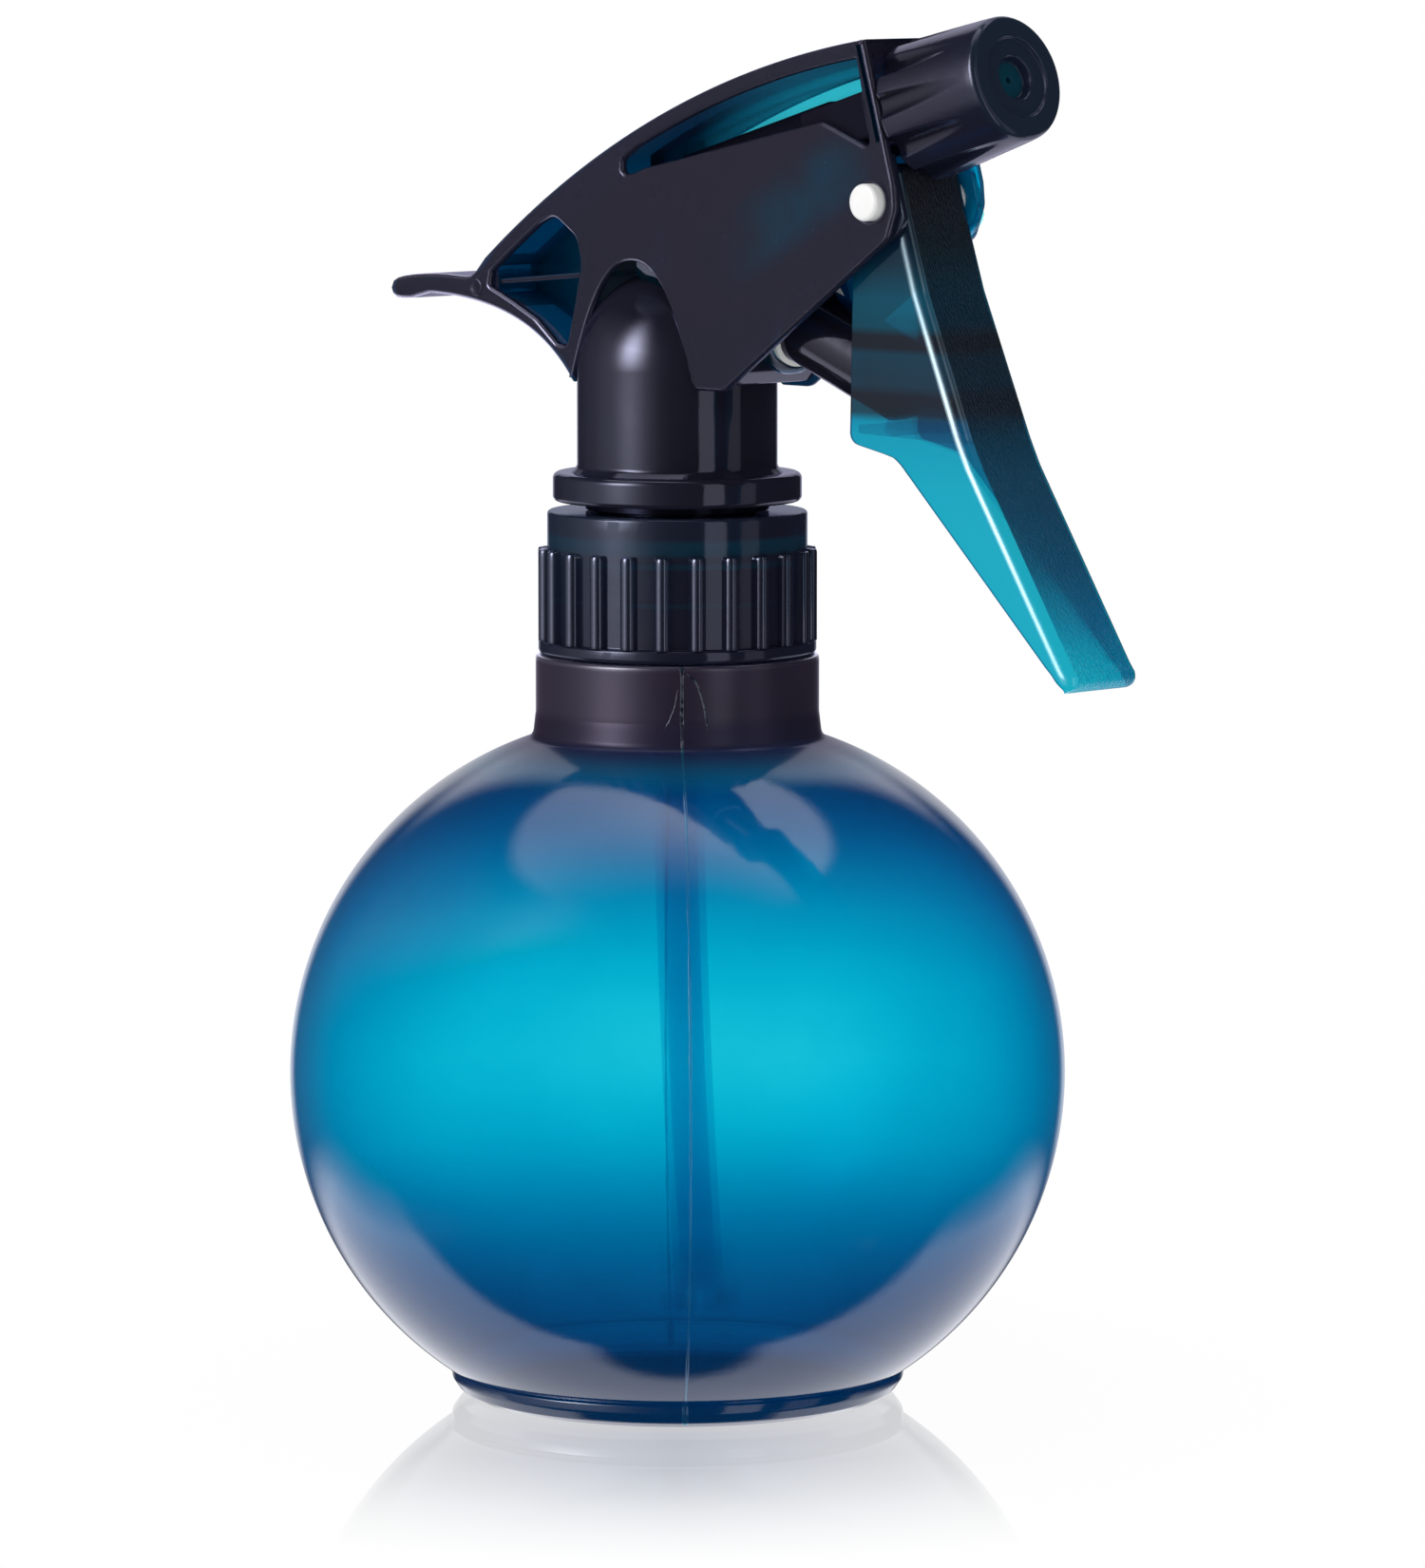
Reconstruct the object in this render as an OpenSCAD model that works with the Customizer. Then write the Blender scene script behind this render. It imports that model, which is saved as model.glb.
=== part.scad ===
// Round trigger spray bottle, with its closure, pump, trigger and nozzle. Millimetres, +Z up.
// Origin: centre of the bottle's foot, on the surface it stands on. +X is the way it sprays.
// In names, _r is a radius, _t a thickness, _y a half width, and _x and _z are places.

/* [Bottle] */
// Widest radius of the round body
belly_r = 47.5; // [46:0.5:49]
// Radius of the arc that shapes the side of the body
belly_arc = 43.6; // [43.2:0.1:44]
// Height of the widest level
belly_z = 39.5; // [39:0.5:40]
// Radius of the standing foot
foot_r = 27.9; // [27.4:0.1:28.2]
// Radius of the smooth band under the collar
band_r = 17.3; // [17:0.1:17.6]
// Height of the shoulder that carries the threaded finish
band_top = 91; // [90.8:0.1:91]
// Height of the bottle's lip
lip_z = 104.6; // [104.4:0.1:104.6]
// Wall thickness of the blown bottle
bottle_wall = 1.3; // [1.0:0.1:1.5]
// Outside radius of the finish under the thread
finish_r = 12.5; // [12.4:0.1:12.5]

/* [Closure thread] */
// Lead of the closure thread, six turns to the inch
lead = 4.233; // [4.233]
// Number of turns of thread on the neck and on the collar
thread_turns = 1.25; // [1:0.25:1.25]

/* [Collar] */
// Outside radius of the plain top of the collar
collar_r = 15.85; // [15.6:0.05:16]
// Outside radius over the grip ribs
rib_out = 17.1; // [16.9:0.05:17.2]
// Number of grip ribs
rib_n = 24; // [20:1:28]
// Angle of the first grip rib
rib_turn = 8.2; // [0:0.1:15]

/* [Head] */
// Outside radius of the upright tube
tube_r = 12.2; // [12:0.1:12.2]
// Height of the centre of the tube's domed top
dome_z = 125.8; // [125:0.2:126]
// Half width over the shroud's side plates
plate_y = 8; // [7.9:0.1:8.2]
// Thickness of the shroud's side plates
plate_t = 0.95; // [0.9:0.05:0.95]
// Radius of the arc along the top of the shroud
spine_r = 133.5; // [133:0.5:134]
// Thickness of the shroud's top flange
spine_t = 2; // [1.6:0.1:2.2]
// Nozzle axis, degrees above level
nozzle_pitch = 16.3; // [16:0.1:16.6]

/* [Trigger] */
// Trigger pivot, distance forward of the bottle's axis
pivot_x = 39.6; // [39.4:0.1:39.8]
// Trigger pivot, height
pivot_z = 147.3; // [147.1:0.1:147.5]
// Pivot pin radius
pin_r = 2.2; // [2:0.05:2.2]
// Half width of the trigger at the finger grip
trig_y = 6.2; // [6.1:0.1:6.4]
// Wall thickness of the trigger
trig_t = 1.5; // [1.3:0.1:1.6]
// Side wall thickness of the trigger
trig_s = 1.15; // [1.0:0.05:1.2]

/* [Pump] */
// Angle of the pump cylinder below level
pump_tilt = 22; // [21.5:0.5:22.5]
// Pump bore radius
bore_r = 5.6; // [5.6]
// Piston rod radius
rod_r = 4.9; // [4.7:0.1:4.9]

/* [Hidden] */
$fn = 96;

navy = [0.10, 0.10, 0.20];
teal = [0.0, 0.55, 0.68];
pale_grey = [0.85, 0.87, 0.9];
off_white = [0.9, 0.9, 0.88];

// places in side view, as [x, z]
nozzle_face = [55.7, 162.1];
pump_origin = [26, 130.6];     // a point on the pump's axis
spine_c = [57.6, 167.7 - spine_r];

// ---------- frames and helpers ----------
// origin at the centre of the nozzle's face, local +Z the way it sprays
module at_nozzle() {
  translate([nozzle_face[0], 0, nozzle_face[1]]) rotate([0, 90 - nozzle_pitch, 0]) children();
}
// origin on the pump's axis, local +Z forward and down towards the trigger
module at_pump() {
  translate([pump_origin[0], 0, pump_origin[1]]) rotate([0, 90 + pump_tilt, 0]) children();
}

// a side view (x, z) given a width centred on y = 0
module slab(width) { rotate([90, 0, 0]) linear_extrude(width, center = true) children(); }
// the same side view on both sides, from y = inner to y = outer
module slab_pair(inner, outer) {
  for (side = [-1, 1]) translate([0, side*(inner + outer)/2, 0]) slab(outer - inner) children();
}

module post(z, r, h) { translate([0, 0, z]) cylinder(r = r, h = h); }
module tube(z, outer, inner, h) {
  translate([0, 0, z]) difference() {
    cylinder(r = outer, h = h);
    post(-1, inner, h + 2);
  }
}
module pin_bore(gap) {
  translate([pivot_x, 20, pivot_z]) rotate([90, 0, 0]) cylinder(r = pin_r + gap, h = 40);
}

// points of a quadratic Bezier curve with control points p
function curve(p, n) =
  [for (i = [0:n]) let (t = i/n) p[0]*(1-t)*(1-t) + 2*p[1]*t*(1-t) + p[2]*t*t];

// ---------- threads and coils ----------
thread_z = 95.2;      // middle of the neck thread where it starts
thread_base = 2.3;    // width of the ridge at its base
thread_crest = 1.1;   // width of the ridge at its crest

// a ridge that climbs round the axis and fades at its ends; it faces in if crest_r < base_r
module thread_ridge(base_r, crest_r, start_z) {
  seg = 24;
  n = round(thread_turns*seg);
  points = [for (i = [0:n])
    let (a = 360*i/seg, z = start_z + lead*i/seg,
         r = base_r + (crest_r - base_r)*min(1, min(i, n - i)/3 + 0.25))
    for (q = [[base_r, z - thread_base/2], [r, z - thread_crest/2],
              [r, z + thread_crest/2], [base_r, z + thread_base/2]])
      [q[0]*cos(a), q[0]*sin(a), q[1]]];
  sides = [for (i = [0:n-1]) for (k = [0:3]) let (a = 4*i + k, b = 4*i + (k + 1) % 4)
    each [[a, b, b + 4], [a, b + 4, a + 4]]];
  caps = [[0, 3, 2], [0, 2, 1], [4*n, 4*n+1, 4*n+2], [4*n, 4*n+2, 4*n+3]];
  faces = concat(sides, caps);
  polyhedron(points = points, convexity = 6,
             faces = crest_r > base_r ? faces : [for (f = faces) [f[1], f[0], f[2]]]);
}

// a coil of round wire (radii r and wire) with a flatter turn at each end
module coil(r, wire, h, turns) {
  seg = 14;
  k = 6;
  n = turns*seg;
  end_rise = 1.1*wire;
  function rise(t) =
    t < 1 ? end_rise*t
    : t > turns - 1 ? h - 2*wire - end_rise*(turns - t)
    : end_rise + (t - 1)/(turns - 2)*(h - 2*wire - 2*end_rise);
  points = [for (i = [0:n]) let (a = 360*i/seg, z = wire + rise(i/seg))
    for (j = [0:k-1]) let (b = 360*j/k)
      [(r + wire*cos(b))*cos(a), (r + wire*cos(b))*sin(a), z + wire*sin(b)]];
  sides = [for (i = [0:n-1]) for (j = [0:k-1]) let (a = i*k + j, b = i*k + (j + 1) % k)
    each [[a, b + k, b], [a, a + k, b + k]]];
  start_cap = [for (j = [1:k-2]) [0, j, j + 1]];
  end_cap = [for (j = [1:k-2]) [n*k, n*k + j + 1, n*k + j]];
  polyhedron(points = points, faces = concat(sides, start_cap, end_cap), convexity = 10);
}

// ---------- bottle ----------
// profiles are [radius, z]
foot_profile = [[0, 0], [foot_r - 2.0, 0], [foot_r - 0.9, 0.45], [foot_r - 0.2, 1.3],
  [foot_r, 2.4], [foot_r - 0.3, 3.2], [0, 3.2]];
band_profile = [[0, 80], [17.9, 80.6], [band_r + 0.15, 81.9], [band_r, 83.2],
  [band_r, band_top - 1.1], [band_r - 0.35, band_top - 0.35], [band_r - 1.2, band_top],
  [0, band_top]];
neck_bore_r = finish_r - 1.9;
neck_space = [[0, 80], [14.6, 80], [14.6, band_top - 3.4], [neck_bore_r, band_top - 1],
  [neck_bore_r, lip_z + 1], [0, lip_z + 1]];

// half profile of the round body, set in by inset
module belly(inset) {
  intersection() {
    translate([belly_r - belly_arc, belly_z]) circle(r = belly_arc - inset, $fn = 180);
    square([belly_r + 5, 83.4 - inset]);
  }
}
module belly_above(z, inset) {
  difference() {
    belly(inset);
    square([60, z]);
  }
}
module bottle() color(teal, 0.6) union() {
  rotate_extrude($fn = 180) difference() {
    union() {
      belly_above(3.1, 0);
      polygon(foot_profile);
      polygon(band_profile);
      square([finish_r, lip_z]);
    }
    // liquid space
    belly_above(1.7, bottle_wall);
    polygon(neck_space);
  }
  thread_ridge(finish_r - 0.5, finish_r + 1.2, thread_z);
}

// ---------- closure ----------
collar_in = 14;       // inside radius of the collar's skirt
collar_hole = 9.9;    // radius of the hole in its top wall
crown_z = 107;        // underside of the top wall
collar_top = 108.5;
collar_profile = [[collar_hole, crown_z], [collar_in, crown_z], [collar_in, 91.15],
  [16.5, 91.15], [16.95, 91.6], [16.95, 92.6], [collar_r, 92.9],
  [collar_r, collar_top - 0.35], [collar_r - 0.35, collar_top], [collar_hole, collar_top]];
rib_r = 0.95;
rib_h = 11.2;         // height of a rib under its tapered tip

module collar() color(navy) union() {
  rotate_extrude() polygon(collar_profile);
  for (i = [0:rib_n-1]) rotate(360*i/rib_n + rib_turn) translate([rib_out - rib_r, 0, 92.3]) {
    cylinder(r = rib_r, h = rib_h, $fn = 24);
    translate([0, 0, rib_h]) cylinder(r1 = rib_r, r2 = 0.35, h = 0.8, $fn = 24);
  }
  thread_ridge(collar_in + 0.5, 12.85, thread_z - lead/2);
}

gasket_t = 1;
module neck_gasket() color("whitesmoke") tube(lip_z, 13.2, 9.0, gasket_t);

dip_r = 3.1;
dip_bore_r = 2.2;
dip_socket_r = dip_r + 0.04;
dip_z = 94;           // the dip tube is straight above here and bent below
riser_r = 1.9;

module tube_retainer() color(pale_grey) difference() {
  rotate_extrude() union() {
    translate([0, lip_z + gasket_t]) square([13.3, 1.3]);
    translate([0, 95]) square([4.7, 11.9]);
    translate([0, 106]) square([3.35, 8]);
    translate([5.35, 106]) square([1.2, 5]);
  }
  post(dip_z, dip_socket_r, 11.2);
  post(100, riser_r, 20);
  // seat of the inlet ball
  translate([0, 0, 113.6]) cylinder(r1 = riser_r, r2 = 2.7, h = 1);
}
module inlet_ball() color("silver") translate([0, 0, 115.5]) sphere(r = 2.4);

// the dip tube hangs straight from its socket, then keeps a slight set from the coil it
// was cut from
dip_bend = 1250;      // radius of that set
dip_turn = 44;        // direction it bends towards, degrees from +X
dip_sweep = 3.72;     // degrees of bend down to its lower end
module at_bend_centre() {
  translate([0, 0, dip_z]) rotate(dip_turn) translate([dip_bend, 0, 0]) children();
}
module dip_tube() color([0.6, 0.8, 0.9]) union() {
  tube(dip_z, dip_r, dip_bore_r, 11);
  at_bend_centre() rotate([90, 0, 0]) rotate([0, 0, 180])
    rotate_extrude(angle = dip_sweep, $fn = 360) translate([dip_bend, 0]) difference() {
      circle(r = dip_r, $fn = 48);
      circle(r = dip_bore_r, $fn = 48);
    }
}
// a slotted cap on the tube's lower end; local origin at that end
module strainer() color([0.05, 0.35, 0.5])
  at_bend_centre() rotate([0, -dip_sweep, 0]) translate([-dip_bend, 0, 0]) difference() {
    post(-4, 4.9, 9);
    post(-0.02, dip_socket_r, 12);
    post(-2.8, dip_bore_r, 12);
    for (i = [0:3]) rotate(45*i) translate([-6, -0.45, -3]) cube([12, 0.9, 2.4]);
  }

// ---------- pump body ----------
body_y = 7;           // half width of the body's flat parts
pump_r = 7;           // outside radius of the pump cylinder
pump_back = -28;      // rear end of the pump cylinder, in the pump frame
bore_back = -26;      // rear end of the pump bore
barrel_back = -54;    // rear end of the discharge barrel, in the nozzle frame
barrel_len = 25;
nose_r = 3.9;         // radius of the barrel's thinner front part
valve_r = 2.6;        // discharge valve pocket: radius and rear end
valve_back = -21;

// profiles of the two discs under the upright tube, [radius, z]
foot_step = [[0, 106.95], [9.6, 106.95], [9.6, 108.7], [11.2, 108.7], [11.2, 110.2],
  [0, 110.2]];
base_disc = [[0, 109.7], [14.5, 109.7], [15.16, 110.3], [15.16, 112.5], [14.5, 113.2],
  [0, 113.2]];
// side views, [x, z]; the ear's points are from the pivot
ear_wing = [[-5, 0], [-6.2, 2.5], [-6.2, 7.2], [-3, 7.3], [-0.4, 6.2], [2.8, 5.7], [2.8, 0]];
body_floor = [[6, 125.2], [11, 124.6], [15.6, 124.6], [17.4, 126.2], [18.5, 134], [4, 138]];
barrel_web = [[2, 138], [26, 134], [33.6, 152], [8, 150]];

// the barrel and the block across it, grown by gap to cut their room in the shroud
module barrel(gap) {
  at_nozzle() {
    post(barrel_back, 5 + gap, barrel_len);
    post(barrel_back + barrel_len - 1, nose_r + gap, 14.6 + gap);
  }
}
module saddle(gap) {
  at_nozzle() translate([-3.4 - gap, -body_y - gap, -29 - gap])
    cube([5.6 + 2*gap, 2*body_y + 2*gap, 11 + 2*gap]);
}
module upright() {
  rotate_extrude() {
    polygon(foot_step);
    polygon(base_disc);
    translate([0, 110]) square([tube_r, dome_z - 110]);
    intersection() {
      translate([0, dome_z]) circle(r = tube_r, $fn = 120);
      translate([0, dome_z - 1]) square([20, 20]);
    }
  }
}
// ears that carry the pivot pin
module ears() {
  slab_pair(6.1, body_y) difference() {
    translate([pivot_x, pivot_z]) union() {
      circle(r = 5.0);
      polygon(ear_wing);
    }
    // cut back to the front edge of the side plates
    translate(nozzle_face) rotate(nozzle_pitch) translate([-15.7, -40]) square([30, 60]);
  }
}
module pump_body() color(navy) difference() {
  union() {
    upright();
    at_pump() post(pump_back, pump_r, 23.7);
    barrel(0);
    at_nozzle() {
      post(-15.6, nose_r, 10.6);
      post(-9.6, 4.35, 1.1);
    }
    saddle(0);
    ears();
    // floor between tube and cylinder
    slab(2*body_y) polygon(body_floor);
    // wall that carries the barrel on the pump cylinder
    slab(3) polygon(barrel_web);
  }
  // rising pipe and ball chamber
  post(100, 3.4, 19.6);
  post(119, 2, 18.6);
  translate([-2.9, -0.6, 119]) cube([5.8, 1.2, 3.5]);
  // ring-shaped core of the upright tube
  tube(100, 8.3, 5.3, 14.6);
  tube(114.5, 10.8, 5.3, 9.2);
  // pump bore and its path to the nozzle
  at_pump() {
    post(bore_back, bore_r, 30);
    translate([0, 0, -21]) rotate([0, -90, 0]) cylinder(r = 0.9, h = 11.3);
  }
  at_nozzle() {
    post(-49, 1.6, 48);
    post(valve_back, valve_r, 30);
  }
  pin_bore(0.02);
}

// ---------- shroud ----------
// points along the top arc of the shroud, lowered by drop
function spine(first, step, last, drop = 0) = [for (x = [first:step:last])
  [x, spine_c[1] + sqrt(pow(spine_r - drop, 2) - pow(x - spine_c[0], 2))]];

// side views, [x, z]
front_edge = [[38.45, 166.25], [43.35, 149.3], [43.6, 147.3], [43.45, 145.5], [42.9, 143.9],
  [41.9, 142.6], [18.9, 126.3], [17.9, 125.1], [16.6, 124.2], [15.2, 123.9], [9.9, 123.9],
  [0, 123.9]];
rear_curve = curve([[-10.2, 124.0], [-17.5, 133.6], [-35.5, 133.9]], 14);
tail = [[-38.6, 133.1], [-41.3, 133.1], [-42.1, 133.5], [-42.3, 134.3], [-41.9, 135.2],
  [-40.2, 135.85], [-36.2, 136.3], [-32.3, 136.35], [-28.9, 136.2], [-27.4, 136.7]];
upper_window = concat(spine(0.6, 2.28, 37.1, 2.1), [[37.6, 164.0], [39.6, 153.4],
  [33.6, 155.9], [32.4, 156.5], [30.9, 156.5], [2.0, 150.3], [0.2, 149.7], [-0.9, 149.6],
  [-1.5, 150.2], [-1.3, 151.2]]);
rear_window = [[-24.6, 134.9], [-24.7, 136.0], [-24.2, 136.8], [-20.7, 139.6],
  [-15.9, 143.0], [-14.6, 143.6], [-13.3, 143.7], [-11.8, 143.2], [-10.6, 142.3],
  [-9.5, 141.0], [-8.9, 139.4], [-8.9, 137.6], [-9.8, 133.8], [-10.9, 129.4],
  [-11.4, 128.7], [-12.3, 128.5], [-13.2, 128.9], [-16.5, 131.4], [-20.5, 133.4]];
upper_web = concat(spine(-4, 3, 38, 1), [[38.4, 157], [27, 153.7], [-4, 144.4]]);
rear_web = [[-25, 130], [-25, 142], [-14, 146], [-4, 150], [-4, 126], [-11, 126]];
level_rib = [[-24.9, 135.3], [-9.1, 136.7], [-9.1, 137.35], [-24.9, 135.9]];

module outline() {
  polygon(concat(spine(-25.2, 2.12, 38.4), front_edge, rear_curve, tail));
}
// opening over the upright tube
arch_y = 10.4;
module arch() {
  polygon([for (i = [0:32]) let (x = -arch_y + 2*arch_y*i/32)
    each concat([[x - 0.1, 123.4 + 15.6*(1 - pow(abs(x)/arch_y, 2.3))]],
                i == 32 ? [[10.3, 120], [-10.5, 120]] : [])]);
}
module side_plates() {
  slab_pair(plate_y - plate_t, plate_y) difference() {
    outline();
    polygon(upper_window);
    polygon(rear_window);
    arch();
  }
}
module top_flange() {
  slab(2*plate_y) difference() {
    intersection() {
      outline();
      translate([-30, 100]) square([80, 80]);
    }
    polygon(concat(spine(-24.4, 2.1, 37.6, spine_t), [[60, 164], [60, 100], [-24.4, 100]]));
    translate([-60, 100]) square([35, 60]);
  }
}
// thumb rest and the lower rear flange
module rear_flange() {
  slab(2*plate_y) intersection() {
    outline();
    union() {
      translate([-50, 130]) square([26.2, 9]);
      difference() {
        polygon(concat(rear_curve, [[-30, 138], [-9, 138]]));
        translate([1.1, 1.7]) polygon(concat(rear_curve, [[-30, 148], [9, 148]]));
      }
    }
  }
}
// centre web, seen in the upper and rear windows
module centre_web() {
  slab(1.1) intersection() {
    outline();
    union() {
      polygon(upper_web);
      polygon(rear_web);
    }
  }
}
module upright_room() {
  room_r = tube_r + 0.15;
  rotate_extrude() intersection() {
    union() {
      translate([0, 100]) square([room_r, dome_z - 100]);
      translate([0, dome_z]) circle(r = room_r, $fn = 120);
    }
    translate([0, 99]) square([20, 60]);
  }
}
module shroud() color(navy) difference() {
  union() {
    side_plates();
    top_flange();
    rear_flange();
    centre_web();
    // nearly level rib in the rear window
    slab(2*plate_y - 2.4) polygon(level_rib);
    // front wall around the barrel
    at_nozzle() translate([-9, -plate_y, -17]) cube([12.6, 2*plate_y, 1.3]);
    // round moulding mark by the thumb rest
    for (side = [-1, 1]) translate([-26.9, side*plate_y, 134.9]) rotate([-90*side, 0, 0])
      cylinder(r = 1.05, h = 0.12, $fn = 32);
  }
  // clearance round the pump body
  barrel(0.12);
  at_nozzle() post(-20, nose_r + 0.15, 20);
  saddle(0.1);
  upright_room();
  at_pump() post(pump_back - 0.15, pump_r + 0.02, 30);
  pin_bore(0.04);
}

pin_y = 8.9;          // half length of the pin without its tapered ends
module pivot_pin() color("white") translate([pivot_x, 0, pivot_z]) rotate([90, 0, 0]) {
  post(-pin_y, pin_r, 2*pin_y);
  for (end = [0, 1]) mirror([0, 0, end]) translate([0, 0, pin_y])
    cylinder(r1 = pin_r, r2 = pin_r - 0.4, h = 0.5);
}

// ---------- trigger ----------
// the front of the trigger is a concave arc; points along it, moved back by inset
grip_c = [195.7, 190.4];
grip_r = 159;
function grip(first, step, last, inset = 0) = [for (z = [first:step:last])
  [grip_c[0] - sqrt(pow(grip_r + inset, 2) - pow(grip_c[1] - z, 2)), z]];

// side views, [x, z]
trig_tip = [[69.95, 92.3], [69.8, 91.6], [69.2, 91.25], [68.3, 91.4]];
trig_under = curve([[66.8, 93.3], [53.5, 104.8], [42.6, 116.7]], 8);
trig_back = [[41.6, 117.3], [36.0, 118.5], [35.1, 118.9], [34.6, 119.8], [34.6, 122.6],
  [35.6, 131.5], [35.5, 134.2], [34.8, 136.6], [35.2, 147.3]];
upper_rib = [[34, 133.8], [49, 131.4], [49, 130.4], [34, 132.8]];
lower_rib = [[34, 120.9], [52, 120.3], [52, 119.3], [34, 119.9]];
// half front views, [y, z] from the top down; narrower where it enters between the ears
neck_y = 5.9;
trig_half = [[neck_y, 153], [neck_y, 141], [trig_y, 129], [trig_y, 95], [trig_y - 0.6, 91]];
hollow_half = [[neck_y - trig_s, 142], [trig_y - trig_s, 129], [trig_y - trig_s, 96],
  [trig_y - 2.4, 90]];
push_at = 16.2;       // rear face of the pusher plate, along the pump's axis

module trig_outline() {
  polygon(concat(grip(146.5, -2.55, 93.0), trig_tip, trig_under, trig_back));
  intersection() {
    translate([pivot_x, pivot_z]) circle(r = 4.4);
    polygon(concat(grip(153, -2, 141), [[30, 141], [30, 153]]));
  }
}
// a half front view, mirrored and run forward along +X
module front_prism(half) {
  rotate([90, 0, 90]) linear_extrude(90) polygon(concat(
    [for (p = half) [-p[0], p[1]]], [for (i = [len(half)-1:-1:0]) half[i]]));
}
module trigger_shell() {
  difference() {
    intersection() {
      slab(14) trig_outline();
      front_prism(trig_half);
    }
    // hollow back
    intersection() {
      slab(20) polygon(concat(grip(141.2, -2.56, 94.6, trig_t),
                              [[60, 92.5], [20, 92.5], [20, 141.2]]));
      front_prism(hollow_half);
    }
  }
}
module trigger() color(teal, 0.8) difference() {
  union() {
    trigger_shell();
    // two cross ribs and the plate between them, square to the pump, that pushes the piston
    slab(2*(trig_y - trig_s) + 0.6) intersection() {
      trig_outline();
      union() {
        polygon(upper_rib);
        polygon(lower_rib);
        translate(pump_origin) rotate(-pump_tilt) translate([push_at, -4.6])
          square([1.4, 9.6]);
      }
    }
  }
  pin_bore(0.06);
}

// ---------- piston ----------
piston_tip_r = 5.6;   // radius of the rounded front end
cup_seat_r = 4.3;
module piston() color(navy) at_pump() difference() {
  union() {
    post(-7.6, rod_r, 19.6);
    post(-10, cup_seat_r, 3);
    post(-10, 5.3, 0.7);
    intersection() {
      post(11, rod_r, 6);
      translate([0, 0, push_at - piston_tip_r - 0.05]) sphere(r = piston_tip_r);
    }
  }
  post(-11, 3.7, 22.5);
}
module piston_cup() color(off_white) at_pump() difference() {
  union() {
    post(-9.28, 5.3, 1.66);
    post(-9.28, bore_r - 0.03, 0.7);
  }
  post(-12, cup_seat_r + 0.02, 6);
}
module vent_wiper() color(off_white) at_pump() tube(-5.6, bore_r - 0.02, rod_r + 0.04, 1.8);
module piston_spring() color("silver") at_pump() translate([0, 0, bore_back + 0.05])
  coil(r = 3.0, wire = 0.4, h = 37.3, turns = 11);

// ---------- discharge valve and nozzle ----------
valve_fit_r = valve_r - 0.03;   // radius of the parts that fit the valve pocket
seat_hole_r = 1.1;
module discharge_seat() color(pale_grey) at_nozzle()
  translate([0, 0, valve_back + 0.02]) difference() {
    cylinder(r = valve_fit_r, h = 3);
    post(-1, seat_hole_r, 6);
    translate([0, 0, 2.4]) cylinder(r1 = seat_hole_r, r2 = 1.7, h = 0.61);
  }
module discharge_ball() color("silver") at_nozzle() translate([0, 0, -17.15]) sphere(r = 1.75);
module discharge_spring() color("silver") at_nozzle() translate([0, 0, -16.4])
  coil(r = 1.75, wire = 0.22, h = 6.15, turns = 6);
module swirl_insert() color(pale_grey) at_nozzle() translate([0, 0, -10.2]) difference() {
  union() {
    cylinder(r = valve_fit_r, h = 5.6);
    post(5.2, 3.2, 1.4);
  }
  // side channels, then the swirl chamber and its feeds
  for (a = [0:90:270]) rotate(a) translate([2.1, -0.35, -1]) cube([2, 0.7, 8]);
  post(6.2, 1.2, 1);
  for (a = [0:120:240]) rotate(a) translate([0.7, -0.2, 6.2]) cube([3, 0.4, 1]);
}
module nozzle_seal() color([0.15, 0.15, 0.15]) at_nozzle() translate([0, 0, -12.2])
  rotate_extrude() translate([4.42, 0]) circle(r = 0.5, $fn = 32);

// [radius, z in the nozzle frame]
cap_profile = [[5.0, -15.1], [8.1, -15.1], [8.45, -14.6], [7.55, -1.5], [7.35, -0.5],
  [6.7, 0], [4.9, 0], [4.7, -0.35], [2.45, -0.35], [2.3, -1.5], [0.35, -1.5],
  [0.35, -2.8], [3.4, -2.8], [3.4, -4.6], [5.0, -4.6]];
flute_n = 10;
module nozzle_cap() color(navy) at_nozzle() difference() {
  rotate_extrude() polygon(cap_profile);
  // grip flutes
  for (i = [0:flute_n-1]) rotate(360/flute_n*i + 14.37) translate([9.36, 0, -15.23])
    rotate([0, 2.7, 0]) post(-1, 1.9, 15);
}

bottle();
collar();
neck_gasket();
tube_retainer();
inlet_ball();
dip_tube();
strainer();
pump_body();
shroud();
pivot_pin();
trigger();
piston();
piston_cup();
vent_wiper();
piston_spring();
discharge_seat();
discharge_ball();
discharge_spring();
swirl_insert();
nozzle_seal();
nozzle_cap();
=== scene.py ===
# A trigger spray bottle in dyed clear plastic, standing on z = 0 with its axis on Z.
# The nozzle and the trigger face +X, Y runs across the spray head and the rear is -X.
# Shapes are worked out in millimetres and turned into metres when a mesh is built.
import bpy, bmesh, math
from functools import cached_property
from math import atan2, cos, pi, radians, sin, sqrt, tan
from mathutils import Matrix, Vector
from mathutils.geometry import tessellate_polygon


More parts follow.
